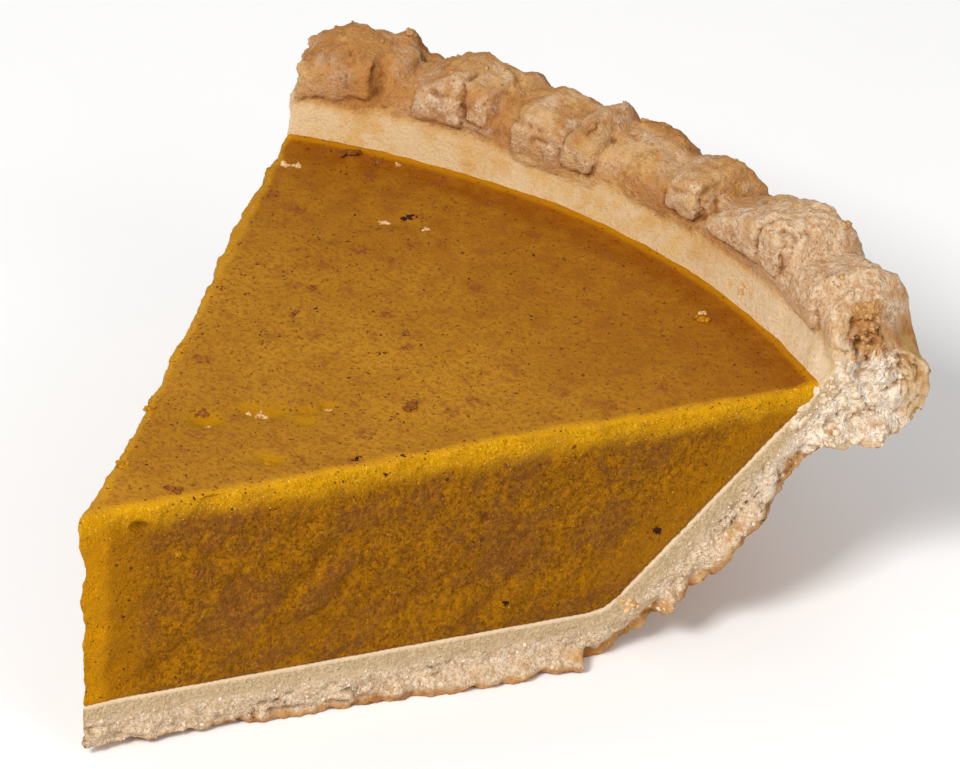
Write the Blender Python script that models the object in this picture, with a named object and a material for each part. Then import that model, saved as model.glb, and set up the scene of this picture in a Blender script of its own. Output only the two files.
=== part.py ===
"""A cut slice of pumpkin pie: the baked crust and the set custard it holds.

The pie's centre line is the slice's tip.  Both solids are swept about that line:
a cross-section in radius and height is carried through the slice angle, and the
crust's section changes along the way, because its rim is crimped by hand.  The
slice is then centred on its own bounding box and rests on its flat bottom.
"""
import math

import bmesh
import bpy
from mathutils import Matrix, Vector

MM = 0.001

# the cut
SLICE_ANGLE_DEG = 56.0
CRUST_STEPS = 84
FILLING_STEPS = 42

# pastry bottom and sloping wall
BASE_RADIUS = 74.5 * MM
BASE_THICKNESS = 8.3 * MM
WALL_INNER_FOOT = 76.0 * MM
WALL_CORNER_RISE = 1.3 * MM
WALL_OUTER_TOP_RADIUS = 105.5 * MM
RIM_UNDERSIDE_HEIGHT = 28.4 * MM
WALL_OUTER_BOW = 1.35
WALL_OUTER_STEPS = 6
WALL_INNER_STEPS = 3

# custard
FILLING_RADIUS = 105.0 * MM
FILLING_HEIGHT = 38.0 * MM
FIT_GAP = 0.3 * MM
CUT_EDGE_ROUND = 1.1 * MM

# rim: the same ten stations where the dough is pressed inwards and outwards
RIM_LOBE = (
    (117.2, 28.3), (121.2, 31.3), (122.0, 36.2), (120.3, 41.5), (118.4, 46.8),
    (115.2, 51.2), (111.4, 51.9), (108.4, 49.6), (107.3, 46.2), (108.5, 43.0),
)
RIM_FLUTE = (
    (117.2, 28.3), (121.2, 31.3), (122.2, 36.6), (121.7, 42.0), (121.0, 46.2),
    (119.3, 49.2), (117.0, 49.2), (114.6, 47.4), (112.0, 45.0), (109.2, 42.4),
)
RIM_CURVE_DIVISIONS = 2

# each crimp: middle (degrees from the right-hand cut), half width (degrees),
# how far it is pressed in (1 is a full lobe) and how much it stands up
CRIMPS = (
    (0.4, 2.2, 0.80, 0.3 * MM),
    (6.6, 2.5, 0.85, 0.6 * MM),
    (14.8, 4.6, 1.00, 0.9 * MM),
    (24.4, 4.0, 0.95, 0.1 * MM),
    (34.8, 4.2, 1.05, 0.0 * MM),
    (43.4, 3.6, 1.00, 0.2 * MM),
    (53.8, 3.8, 1.00, 0.6 * MM),
)
TONGUE_CREASE_DEPTH = 0.45
TONGUE_CREASE_OFFSET = 0.30
TONGUE_CREASE_HALF_WIDTH_DEG = 0.75

CRUST_COLOUR = (0.560, 0.330, 0.145, 1.0)
FILLING_COLOUR = (0.380, 0.165, 0.016, 1.0)


def clear_scene():
    """Remove every object of the starting scene."""
    for scene_object in list(bpy.data.objects):
        bpy.data.objects.remove(scene_object, do_unlink=True)


def mix(first, second, share):
    """Return the value that lies the given share of the way to the second."""
    return first + (second - first) * share


def smooth(value):
    """Return a soft step of a value held between nought and one."""
    held = min(max(value, 0.0), 1.0)
    return held * held * (3.0 - 2.0 * held)


def crimp_shape(angle_deg):
    """Return how far the dough is pressed in, and its extra height, at an angle."""
    pressed = 0.0
    lift = 0.0
    for middle, half_width, strength, height in CRIMPS:
        offset = (angle_deg - middle) / half_width
        bump = smooth(1.45 * (1.12 - abs(offset)))
        crease_at = middle - TONGUE_CREASE_OFFSET * half_width
        crease = abs(angle_deg - crease_at) / TONGUE_CREASE_HALF_WIDTH_DEG
        bump *= 1.0 - TONGUE_CREASE_DEPTH * smooth(1.0 - crease)
        if bump * strength > pressed:
            pressed = bump * strength
            lift = bump * height
    return pressed, lift


def curve_through(points, divisions):
    """Return points on a smooth curve through the given stations."""
    curved = []
    last = len(points) - 1
    for index in range(last):
        before = points[max(index - 1, 0)]
        start = points[index]
        end = points[index + 1]
        after = points[min(index + 2, last)]
        for step in range(divisions):
            t = step / divisions
            station = []
            for axis in range(2):
                a, b, c, d = before[axis], start[axis], end[axis], after[axis]
                value = 2.0 * b + (c - a) * t
                value += (2.0 * a - 5.0 * b + 4.0 * c - d) * t * t
                value += (3.0 * b - a - 3.0 * c + d) * t * t * t
                station.append(0.5 * value)
            curved.append(tuple(station))
    curved.append(points[last])
    return curved


def rim_section(angle_deg):
    """Return the rim's stations at an angle, from its underside to the inner wall."""
    pressed, lift = crimp_shape(angle_deg)
    stations = []
    count = len(RIM_LOBE)
    for index, (lobe, flute) in enumerate(zip(RIM_LOBE, RIM_FLUTE)):
        radius = mix(flute[0], lobe[0], pressed) * MM
        height = mix(flute[1], lobe[1], pressed) * MM
        rise = math.sin(math.pi * index / (count - 1)) ** 2
        stations.append((radius, height + lift * rise))
    return curve_through(stations, RIM_CURVE_DIVISIONS)


def outer_wall_section():
    """Return the stations of the wall's outer side, from the bottom to the rim."""
    stations = []
    for step in range(1, WALL_OUTER_STEPS + 1):
        share = step / WALL_OUTER_STEPS
        radius = mix(BASE_RADIUS, WALL_OUTER_TOP_RADIUS, share)
        stations.append((radius, RIM_UNDERSIDE_HEIGHT * share ** WALL_OUTER_BOW))
    return stations


def inner_side_section(gap):
    """Return the holding side of the crust, moved off the pastry by a gap.

    The stations run from the custard's surface down the wall and round the
    corner to the pie's centre line.
    """
    foot = (WALL_INNER_FOOT, BASE_THICKNESS + WALL_CORNER_RISE)
    top = (FILLING_RADIUS, FILLING_HEIGHT)
    run = Vector((top[0] - foot[0], top[1] - foot[1])).normalized()
    inwards = Vector((-run.y, run.x)) * gap
    stations = []
    for step in range(WALL_INNER_STEPS + 1):
        share = step / WALL_INNER_STEPS
        radius = mix(top[0], foot[0], share) + inwards.x
        height = mix(top[1], foot[1], share) + inwards.y
        stations.append((radius, height))
    if gap > 0.0:
        slope = (stations[0][0] - stations[1][0]) / (stations[0][1] - stations[1][1])
        rise = FILLING_HEIGHT - stations[0][1]
        stations[0] = (stations[0][0] + slope * rise, FILLING_HEIGHT)
    stations.append((foot[0] - 1.6 * MM, BASE_THICKNESS + 0.3 * MM + gap))
    stations.append((foot[0] - 3.8 * MM, BASE_THICKNESS + gap))
    stations.append((0.0, BASE_THICKNESS + gap))
    return stations


def crust_section(angle_deg):
    """Return the crust's whole outline at an angle, starting on the centre line."""
    outline = [(0.0, 0.0), (BASE_RADIUS, 0.0)]
    outline.extend(outer_wall_section())
    outline.extend(rim_section(angle_deg))
    outline.extend(inner_side_section(0.0))
    return outline


def filling_section(angle_deg):
    """Return the custard's whole outline, which is the same at every angle."""
    side = inner_side_section(FIT_GAP)
    side.reverse()
    return side + [(0.0, FILLING_HEIGHT)]


def place(station, angle_deg):
    """Return the point in space of a station of the section at an angle."""
    turn = math.radians(90.0 - 0.5 * SLICE_ANGLE_DEG + angle_deg)
    radius, height = station
    return Vector((radius * math.cos(turn), radius * math.sin(turn), height))


def sweep(section_at, steps):
    """Carry a section through the slice angle and return the closed mesh."""
    mesh = bmesh.new()
    order = mesh.verts.layers.int.new("order")
    corners = [mesh.verts.new(place(station, 0.0)) for station in section_at(0.0)]
    face = mesh.faces.new(corners)
    for number, corner in enumerate(corners):
        corner[order] = number
    for step in range(1, steps + 1):
        angle_deg = SLICE_ANGLE_DEG * step / steps
        outline = section_at(angle_deg)
        made = bmesh.ops.extrude_face_region(mesh, geom=[face])["geom"]
        if step > 1:
            mesh.faces.remove(face)
        face = next(item for item in made if isinstance(item, bmesh.types.BMFace))
        for corner in face.verts:
            corner.co = place(outline[corner[order]], angle_deg)
    bmesh.ops.remove_doubles(mesh, verts=mesh.verts[:], dist=0.00001)
    bmesh.ops.dissolve_degenerate(mesh, edges=mesh.edges[:], dist=0.00001)
    bmesh.ops.recalc_face_normals(mesh, faces=mesh.faces[:])
    return mesh


def merge_flats(mesh):
    """Join the fans on the level faces into single flat faces."""
    level = [edge for edge in mesh.edges if len(edge.link_faces) == 2
             and all(abs(face.normal.z) > 0.9999 for face in edge.link_faces)]
    bmesh.ops.dissolve_edges(mesh, edges=level, use_verts=False)


def is_cut_edge(edge):
    """Tell whether an edge is a cut's upper edge or the edge at the tip."""
    level = [vert.co.z > FILLING_HEIGHT - 0.01 * MM for vert in edge.verts]
    normals = [face.normal.z for face in edge.link_faces]
    if all(level):
        return max(normals) > 0.99 and abs(min(normals)) < 0.01
    return all(vert.co.xy.length < 0.01 * MM for vert in edge.verts)


def round_cut_edges(mesh):
    """Round the custard's upper cut edges and the edge at its tip."""
    edges = [edge for edge in mesh.edges if is_cut_edge(edge)]
    bmesh.ops.bevel(
        mesh, geom=edges, offset=CUT_EDGE_ROUND, offset_type="OFFSET", segments=2,
        profile=0.5, affect="EDGES", clamp_overlap=True, material=-1,
    )
    bmesh.ops.recalc_face_normals(mesh, faces=mesh.faces[:])


def make_material(name, colour, roughness):
    """Return a plain material of one colour."""
    material = bpy.data.materials.new(name)
    material.use_nodes = True
    shader = material.node_tree.nodes["Principled BSDF"]
    shader.inputs["Base Color"].default_value = colour
    shader.inputs["Roughness"].default_value = roughness
    shader.inputs["Metallic"].default_value = 0.0
    return material


def finish(name, mesh, material, shift):
    """Turn a mesh into a named object, moved so that the slice is centred."""
    bmesh.ops.transform(mesh, matrix=Matrix.Translation(shift), verts=mesh.verts[:])
    bmesh.ops.triangulate(mesh, faces=mesh.faces[:], ngon_method="BEAUTY")
    data = bpy.data.meshes.new(name)
    mesh.to_mesh(data)
    mesh.free()
    data.materials.append(material)
    made = bpy.data.objects.new(name, data)
    bpy.context.scene.collection.objects.link(made)
    return made


def centring_shift(mesh):
    """Return the move that puts the middle of a mesh's footprint at the origin."""
    xs = [vert.co.x for vert in mesh.verts]
    ys = [vert.co.y for vert in mesh.verts]
    return Vector((-0.5 * (min(xs) + max(xs)), -0.5 * (min(ys) + max(ys)), 0.0))


def main():
    """Build the crust and the custard filling."""
    clear_scene()
    crust = sweep(crust_section, CRUST_STEPS)
    filling = sweep(filling_section, FILLING_STEPS)
    merge_flats(filling)
    round_cut_edges(filling)
    shift = centring_shift(crust)
    finish("crust", crust, make_material("crust", CRUST_COLOUR, 0.75), shift)
    finish("filling", filling, make_material("filling", FILLING_COLOUR, 0.45), shift)


main()
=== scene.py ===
"""The looks of a cut slice of pumpkin pie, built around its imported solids.

Everything is shaped in the pie's own measure first: the pie's centre line is the
origin, the angle runs from the right-hand cut to the left-hand one, and height is
above the plate.  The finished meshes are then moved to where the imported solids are.
"""
from __future__ import annotations

import logging
import math
import random
from collections.abc import Callable, Sequence
from dataclasses import dataclass, field
from enum import Enum
from typing import ClassVar

import bmesh
import bpy
import numpy as np
from mathutils import Matrix, Vector, noise
from mathutils.bvhtree import BVHTree


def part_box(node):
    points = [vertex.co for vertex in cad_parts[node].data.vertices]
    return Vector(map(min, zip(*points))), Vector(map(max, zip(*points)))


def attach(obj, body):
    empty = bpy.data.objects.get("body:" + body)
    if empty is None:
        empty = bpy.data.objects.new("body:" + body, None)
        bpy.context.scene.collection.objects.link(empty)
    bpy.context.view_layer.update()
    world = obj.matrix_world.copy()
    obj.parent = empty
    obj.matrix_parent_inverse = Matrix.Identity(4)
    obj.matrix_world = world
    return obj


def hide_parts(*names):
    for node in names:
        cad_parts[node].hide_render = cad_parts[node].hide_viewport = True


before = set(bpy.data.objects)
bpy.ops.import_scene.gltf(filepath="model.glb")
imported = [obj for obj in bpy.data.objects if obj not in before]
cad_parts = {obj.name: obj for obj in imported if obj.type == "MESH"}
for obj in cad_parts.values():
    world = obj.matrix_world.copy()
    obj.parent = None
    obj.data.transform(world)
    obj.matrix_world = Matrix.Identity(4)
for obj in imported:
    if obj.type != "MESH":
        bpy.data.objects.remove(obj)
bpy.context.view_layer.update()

MM = 0.001
UPWARDS = np.array([0.0, 0.0, 1.0])
TOWARDS_TIP = np.array([0.0, -1.0, 0.0])
LOG = logging.getLogger("pie_slice")

Station = tuple[float, float]
Section = Callable[[float], list[Station]]
Colour = tuple[float, float, float, float]
Socket = bpy.types.NodeSocket
Hit = tuple[Vector, Vector]


def tone(red: int, green: int, blue: int) -> Colour:
    """Return the linear colour of a paint chip given in 8-bit display values.

    Args:
        red: Red from 0 to 255.
        green: Green from 0 to 255.
        blue: Blue from 0 to 255.

    Returns:
        The colour as the shaders read it, with full alpha.
    """
    linear = []
    for level in (red, green, blue):
        share = level / 255.0
        linear.append(share / 12.92 if share <= 0.04045 else ((share + 0.055) / 1.055) ** 2.4)
    return (linear[0], linear[1], linear[2], 1.0)


def mix(first: float, second: float, share: float) -> float:
    """Return the value the given share of the way from the first to the second."""
    return first + (second - first) * share


def soft_step(values: np.ndarray, low: float, high: float) -> np.ndarray:
    """Return a soft rise from nought at low to one at high.

    Args:
        values: Where to read the rise.
        low: The value where the rise starts.
        high: The value where it ends; it may be below low, for a fall.

    Returns:
        The rise at each value, held between nought and one.
    """
    held = np.clip((values - low) / (high - low), 0.0, 1.0)
    return held * held * (3.0 - 2.0 * held)


def ramp(lengths: np.ndarray, low: float, high: float) -> np.ndarray:
    """Return the soft rise of lengths in metres between two given in millimetres."""
    return soft_step(lengths, low * MM, high * MM)


def turned(
    first: np.ndarray, second: np.ndarray, degrees: float,
) -> tuple[np.ndarray, np.ndarray]:
    """Measure points along and across a slanting direction.

    Args:
        first: The points' first coordinates.
        second: The points' second coordinates.
        degrees: How far the direction is turned from the first axis to the second.

    Returns:
        The coordinates along the direction and across it.
    """
    turn = math.radians(degrees)
    along = first * math.cos(turn) + second * math.sin(turn)
    across = second * math.cos(turn) - first * math.sin(turn)
    return along, across


class Cut(Enum):
    """The two cut faces of the slice."""

    RIGHT = "right"
    LEFT = "left"


@dataclass(frozen=True)
class Grain:
    """A random pattern that comes out the same on every run; its size is in millimetres."""

    size: float
    seed: float = 0.0

    def soft(self, points: np.ndarray) -> np.ndarray:
        """Return smooth lumps, from about -1 to 1, at each point."""
        return np.array([noise.noise(point) for point in self._spots(points)])

    def rough(self, points: np.ndarray, octaves: int = 4) -> np.ndarray:
        """Return lumps on lumps, from about -1 to 1, at each point."""
        return np.array([noise.fractal(point, 0.9, 2.1, octaves) for point in self._spots(points)])

    def seams(self, points: np.ndarray) -> np.ndarray:
        """Return thin winding lines: one on a line and nought away from it."""
        return np.clip(1.0 - 7.0 * np.abs(self.soft(points)), 0.0, 1.0)

    def _spots(self, points: np.ndarray) -> list[list[float]]:
        """Return the points in the pattern's own measure."""
        return (points / (self.size * MM) + self.seed).tolist()


@dataclass(frozen=True)
class Crimp:
    """One pinched lobe of the rim.

    Angles are in degrees from the right-hand cut.  The foot is how much lower, in
    metres, the lobe reaches down the inner wall than its neighbours do, and the
    easing is where its left side runs out, in half widths.
    """

    middle: float
    half_width: float
    strength: float
    foot: float = 0.0
    easing: tuple[float, float] = (1.12, 0.78)

    def press(self, angles: np.ndarray) -> np.ndarray:
        """Return how fully the lobe stands out at each angle: steep right, gentle left."""
        side = (angles - self.middle) / self.half_width
        return self.strength * soft_step(side, -1.12, -0.88) * soft_step(side, *self.easing)


@dataclass(frozen=True)
class Pad:
    """A pad of dough pressed up on the front of the rim, with a crease around it.

    The angles of its sides are in degrees from the right-hand cut; the rest is in
    millimetres.  The slant is how far its sides lean to the left for each one of height.
    """

    right: float
    left: float
    bottom: float
    top: float
    proud: float
    crease: float
    corner: float
    slant: float = 0.0
    front_radius: float = 107.5

    def outside(self, angles: np.ndarray, heights: np.ndarray) -> np.ndarray:
        """Return how far points on the rim's front lie outside the pad's outline.

        Args:
            angles: The points' angles.
            heights: The points' heights.

        Returns:
            The distances, below nought inside.
        """
        scale = math.radians(1.0) * self.front_radius * MM
        bottom, top, corner = self.bottom * MM, self.top * MM, self.corner * MM
        side = (angles - 0.5 * (self.left + self.right)) * scale
        side = np.abs(side - self.slant * (heights - bottom))
        side -= 0.5 * (self.left - self.right) * scale - corner
        rise = np.abs(heights - 0.5 * (bottom + top))
        rise -= 0.5 * (top - bottom) - corner
        beyond = np.hypot(np.maximum(side, 0.0), np.maximum(rise, 0.0))
        return beyond + np.minimum(np.maximum(side, rise), 0.0) - corner


@dataclass(frozen=True)
class PieShape:
    """The sizes of the slice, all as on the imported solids."""

    slice_angle: float = 56.0
    base_radius: float = 74.5 * MM
    base_thickness: float = 8.3 * MM
    wall_inner_foot: float = 76.0 * MM
    wall_corner_rise: float = 1.3 * MM
    wall_outer_top: float = 105.5 * MM
    rim_underside: float = 28.4 * MM
    wall_outer_bow: float = 1.35
    filling_radius: float = 105.0 * MM
    filling_height: float = 38.0 * MM
    rim_lobe: tuple[Station, ...] = (
        (117.2, 28.3), (121.2, 31.3), (122.0, 36.2), (120.6, 41.5), (119.3, 47.0),
        (116.4, 50.2), (111.6, 50.3), (107.5, 49.5), (106.8, 46.4), (107.3, 43.6),
    )
    rim_flute: tuple[Station, ...] = (
        (117.2, 28.3), (121.2, 31.3), (122.2, 36.6), (121.7, 42.0), (121.0, 46.6),
        (119.0, 50.0), (115.8, 50.2), (111.8, 49.6), (108.4, 47.6), (107.5, 43.3),
    )
    crimps: tuple[Crimp, ...] = (
        Crimp(0.0, 2.4, 0.90, 3.4 * MM),
        Crimp(6.1, 2.6, 0.85, 1.6 * MM),
        Crimp(13.7, 5.1, 1.00, 0.0),
        Crimp(23.4, 4.2, 0.95, 1.0 * MM, (1.30, 0.20)),
        Crimp(34.1, 4.2, 1.05, 1.9 * MM, (1.10, 0.75)),
        Crimp(42.9, 3.6, 1.00, 0.0, (1.12, 0.75)),
        Crimp(53.4, 4.1, 1.00, 0.2 * MM),
    )
    crest: tuple[Station, ...] = (
        (0.0, 43.6), (1.0, 46.8), (2.2, 49.8), (4.0, 50.8), (6.0, 49.6), (8.0, 48.4),
        (8.8, 52.4), (11.0, 52.8), (13.0, 51.8), (15.0, 50.4), (17.0, 48.3), (18.8, 46.8),
        (19.8, 50.6), (22.0, 50.2), (24.6, 47.8), (26.0, 49.3), (30.2, 48.7), (31.0, 51.4),
        (33.0, 49.0), (36.0, 50.5), (38.2, 48.6), (39.0, 50.0), (42.6, 52.0), (44.0, 51.0),
        (46.0, 48.4), (47.5, 47.9), (48.3, 50.8), (52.5, 52.0), (54.0, 50.4), (56.0, 48.2),
    )

    def tip(self) -> Vector:
        """Return where the pie's centre line stands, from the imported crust's box."""
        low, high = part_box("crust")
        return Vector((0.5 * (low.x + high.x), low.y, low.z))

    def place(self, station: Station, angle: float) -> Vector:
        """Return the point of a radius and height at an angle from the right-hand cut."""
        turn = math.radians(90.0 - 0.5 * self.slice_angle + angle)
        return Vector((station[0] * math.cos(turn), station[0] * math.sin(turn), station[1]))

    def inwards(self, cut: Cut) -> np.ndarray:
        """Return the direction from a cut face into the slice.

        Args:
            cut: The cut face.

        Returns:
            The direction, level and one long.
        """
        half = math.radians(0.5 * self.slice_angle)
        side = -1.0 if cut is Cut.RIGHT else 1.0
        return np.array([side * math.cos(half), math.sin(half), 0.0])

    def outer_wall(self, steps: int = 10) -> list[Station]:
        """Return the wall's outer side.

        Args:
            steps: How many steps to take.

        Returns:
            Stations from beside the bottom up to the rim.
        """
        shares = [step / steps for step in range(1, steps + 1)]
        return [
            (mix(self.base_radius, self.wall_outer_top, share),
             self.rim_underside * share ** self.wall_outer_bow)
            for share in shares
        ]

    def outside_line(self) -> list[Station]:
        """Return the outer side from the centre line underneath to the rim's underside."""
        return [(0.0, 0.0), (self.base_radius, 0.0), *self.outer_wall(),
                (117.0 * MM, 28.3 * MM)]

    def holding_side(self, gap: float) -> list[Station]:
        """Return the side of the pastry that holds the custard.

        Args:
            gap: How far the line stands off the pastry; below nought it lies in it.

        Returns:
            Stations from the custard's surface down to the pie's centre line.
        """
        foot = Vector((self.wall_inner_foot, self.base_thickness + self.wall_corner_rise))
        top = Vector((self.filling_radius, self.filling_height))
        run = (top - foot).normalized()
        off = Vector((-run.y, run.x)) * gap
        line = [top.lerp(foot, step / 6.0) + off for step in range(7)]
        stations = [(spot.x, spot.y) for spot in line]
        stations[0] = (top.x - gap * 1.42, top.y)
        stations.append((foot.x - 1.6 * MM, self.base_thickness + 0.3 * MM + gap))
        stations.append((foot.x - 3.8 * MM, self.base_thickness + gap))
        stations.append((0.0, self.base_thickness + gap))
        return stations

    def rim(self, angle: float) -> list[Station]:
        """Return the rim's outline: a blend of the pinched and the unpinched one.

        Args:
            angle: Where round the pie, in degrees from the right-hand cut.

        Returns:
            Stations from underneath, over the crest, to the inner wall.
        """
        at = np.array([angle])
        pressed, foot = 0.0, 0.0
        for crimp in self.crimps:
            press = float(crimp.press(at)[0])
            if press > pressed:
                pressed, foot = press, press * crimp.foot
        crest = float(np.interp(angle, *zip(*self.crest)))
        share = (0.0, 0.0, 0.0, 0.2, 0.7, 1.0, 1.0, 0.8, 0.3, 0.0)
        drop = (0.0, 0.0, 0.0, 0.0, 0.0, 0.0, 0.0, 0.0, 0.5, 1.0)
        stations = []
        for index, (lobe, flute) in enumerate(zip(self.rim_lobe, self.rim_flute)):
            level = mix(flute[1], lobe[1], pressed) + (crest - 50.0) * share[index]
            stations.append((mix(flute[0], lobe[0], pressed) * MM,
                             level * MM - foot * drop[index]))
        return curve_through(stations, 4)


def curve_through(points: Sequence[Station], divisions: int) -> list[Station]:
    """Return a smooth curve through the given stations.

    Args:
        points: The stations to pass through.
        divisions: How many steps to take between two stations.

    Returns:
        The stations of the curve, ends included.
    """
    curved: list[Station] = []
    last = len(points) - 1
    for index in range(last):
        around = [points[min(max(index + shift, 0), last)] for shift in (-1, 0, 1, 2)]
        for step in range(divisions):
            t = step / divisions
            values = []
            for a, b, c, d in zip(*around):
                value = 2.0 * b + (c - a) * t
                value += (2.0 * a - 5.0 * b + 4.0 * c - d) * t * t
                value += (3.0 * b - a - 3.0 * c + d) * t * t * t
                values.append(0.5 * value)
            curved.append((values[0], values[1]))
    curved.append(points[last])
    return curved


def sweep(shape: PieShape, section: Section, steps: int) -> bmesh.types.BMesh:
    """Carry a section through the slice angle.

    Args:
        shape: The slice's sizes.
        section: Gives the outline, starting on the centre line, at an angle.
        steps: How many steps to take from cut to cut.

    Returns:
        The closed mesh, with its tip on the pie's centre line.
    """
    mesh = bmesh.new()
    order = mesh.verts.layers.int.new("order")
    corners = [mesh.verts.new(shape.place(station, 0.0)) for station in section(0.0)]
    face = mesh.faces.new(corners)
    for number, corner in enumerate(corners):
        corner[order] = number
    for step in range(1, steps + 1):
        angle = shape.slice_angle * step / steps
        outline = section(angle)
        made = bmesh.ops.extrude_face_region(mesh, geom=[face])["geom"]
        if step > 1:
            mesh.faces.remove(face)
        face = next(item for item in made if isinstance(item, bmesh.types.BMFace))
        for corner in face.verts:
            corner.co = shape.place(outline[corner[order]], angle)
    bmesh.ops.remove_doubles(mesh, verts=mesh.verts[:], dist=0.01 * MM)
    bmesh.ops.dissolve_degenerate(mesh, edges=mesh.edges[:], dist=0.01 * MM)
    bmesh.ops.recalc_face_normals(mesh, faces=mesh.faces[:])
    return mesh


def put_on(name: str, mesh: bpy.types.Mesh) -> bpy.types.Object:
    """Put a mesh on a helper object, for modifiers to work on.

    Args:
        name: The piece's name.
        mesh: The mesh.

    Returns:
        The helper object.
    """
    holder = bpy.data.objects.new(name + "_holder", mesh)
    bpy.context.scene.collection.objects.link(holder)
    return holder


def take_off(holder: bpy.types.Object) -> bpy.types.Mesh:
    """Run a helper object's modifiers once and keep only what they make.

    Args:
        holder: The helper object; it is removed, and its mesh with it.

    Returns:
        The finished mesh.
    """
    worked = holder.data
    graph = bpy.context.evaluated_depsgraph_get()
    result = bpy.data.meshes.new_from_object(holder.evaluated_get(graph))
    bpy.data.objects.remove(holder, do_unlink=True)
    bpy.data.meshes.remove(worked)
    return result


def grow_skin(name: str, body: bmesh.types.BMesh, voxel: float) -> bpy.types.Mesh:
    """Join everything in a body into one closed skin of small, even faces.

    Args:
        name: The piece's name.
        body: The body; it is freed.
        voxel: The size of the faces, in metres.

    Returns:
        The skin.
    """
    data = bpy.data.meshes.new(name)
    body.to_mesh(data)
    body.free()
    holder = put_on(name, data)
    modifier = holder.modifiers.new("Skin", "REMESH")
    modifier.mode = "VOXEL"
    modifier.voxel_size = voxel
    modifier.use_smooth_shade = True
    return take_off(holder)


def thin_out(mesh: bpy.types.Mesh, loose: np.ndarray, triangles: int) -> bpy.types.Mesh:
    """Merge small faces where nothing shows.

    Args:
        mesh: The mesh to thin; it is removed.
        loose: One for each point where faces may be merged, and nought elsewhere.
        triangles: How many triangles to leave in all.

    Returns:
        The thinned mesh.
    """
    holder = put_on(mesh.name, mesh)
    group = holder.vertex_groups.new(name="loose")
    group.add(np.flatnonzero(loose > 0.5).tolist(), 1.0, "REPLACE")
    modifier = holder.modifiers.new("Thin", "DECIMATE")
    modifier.ratio = min(1.0, triangles / (2.0 * len(mesh.polygons)))
    modifier.vertex_group = group.name
    modifier.vertex_group_factor = 1000.0
    return take_off(holder)


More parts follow.
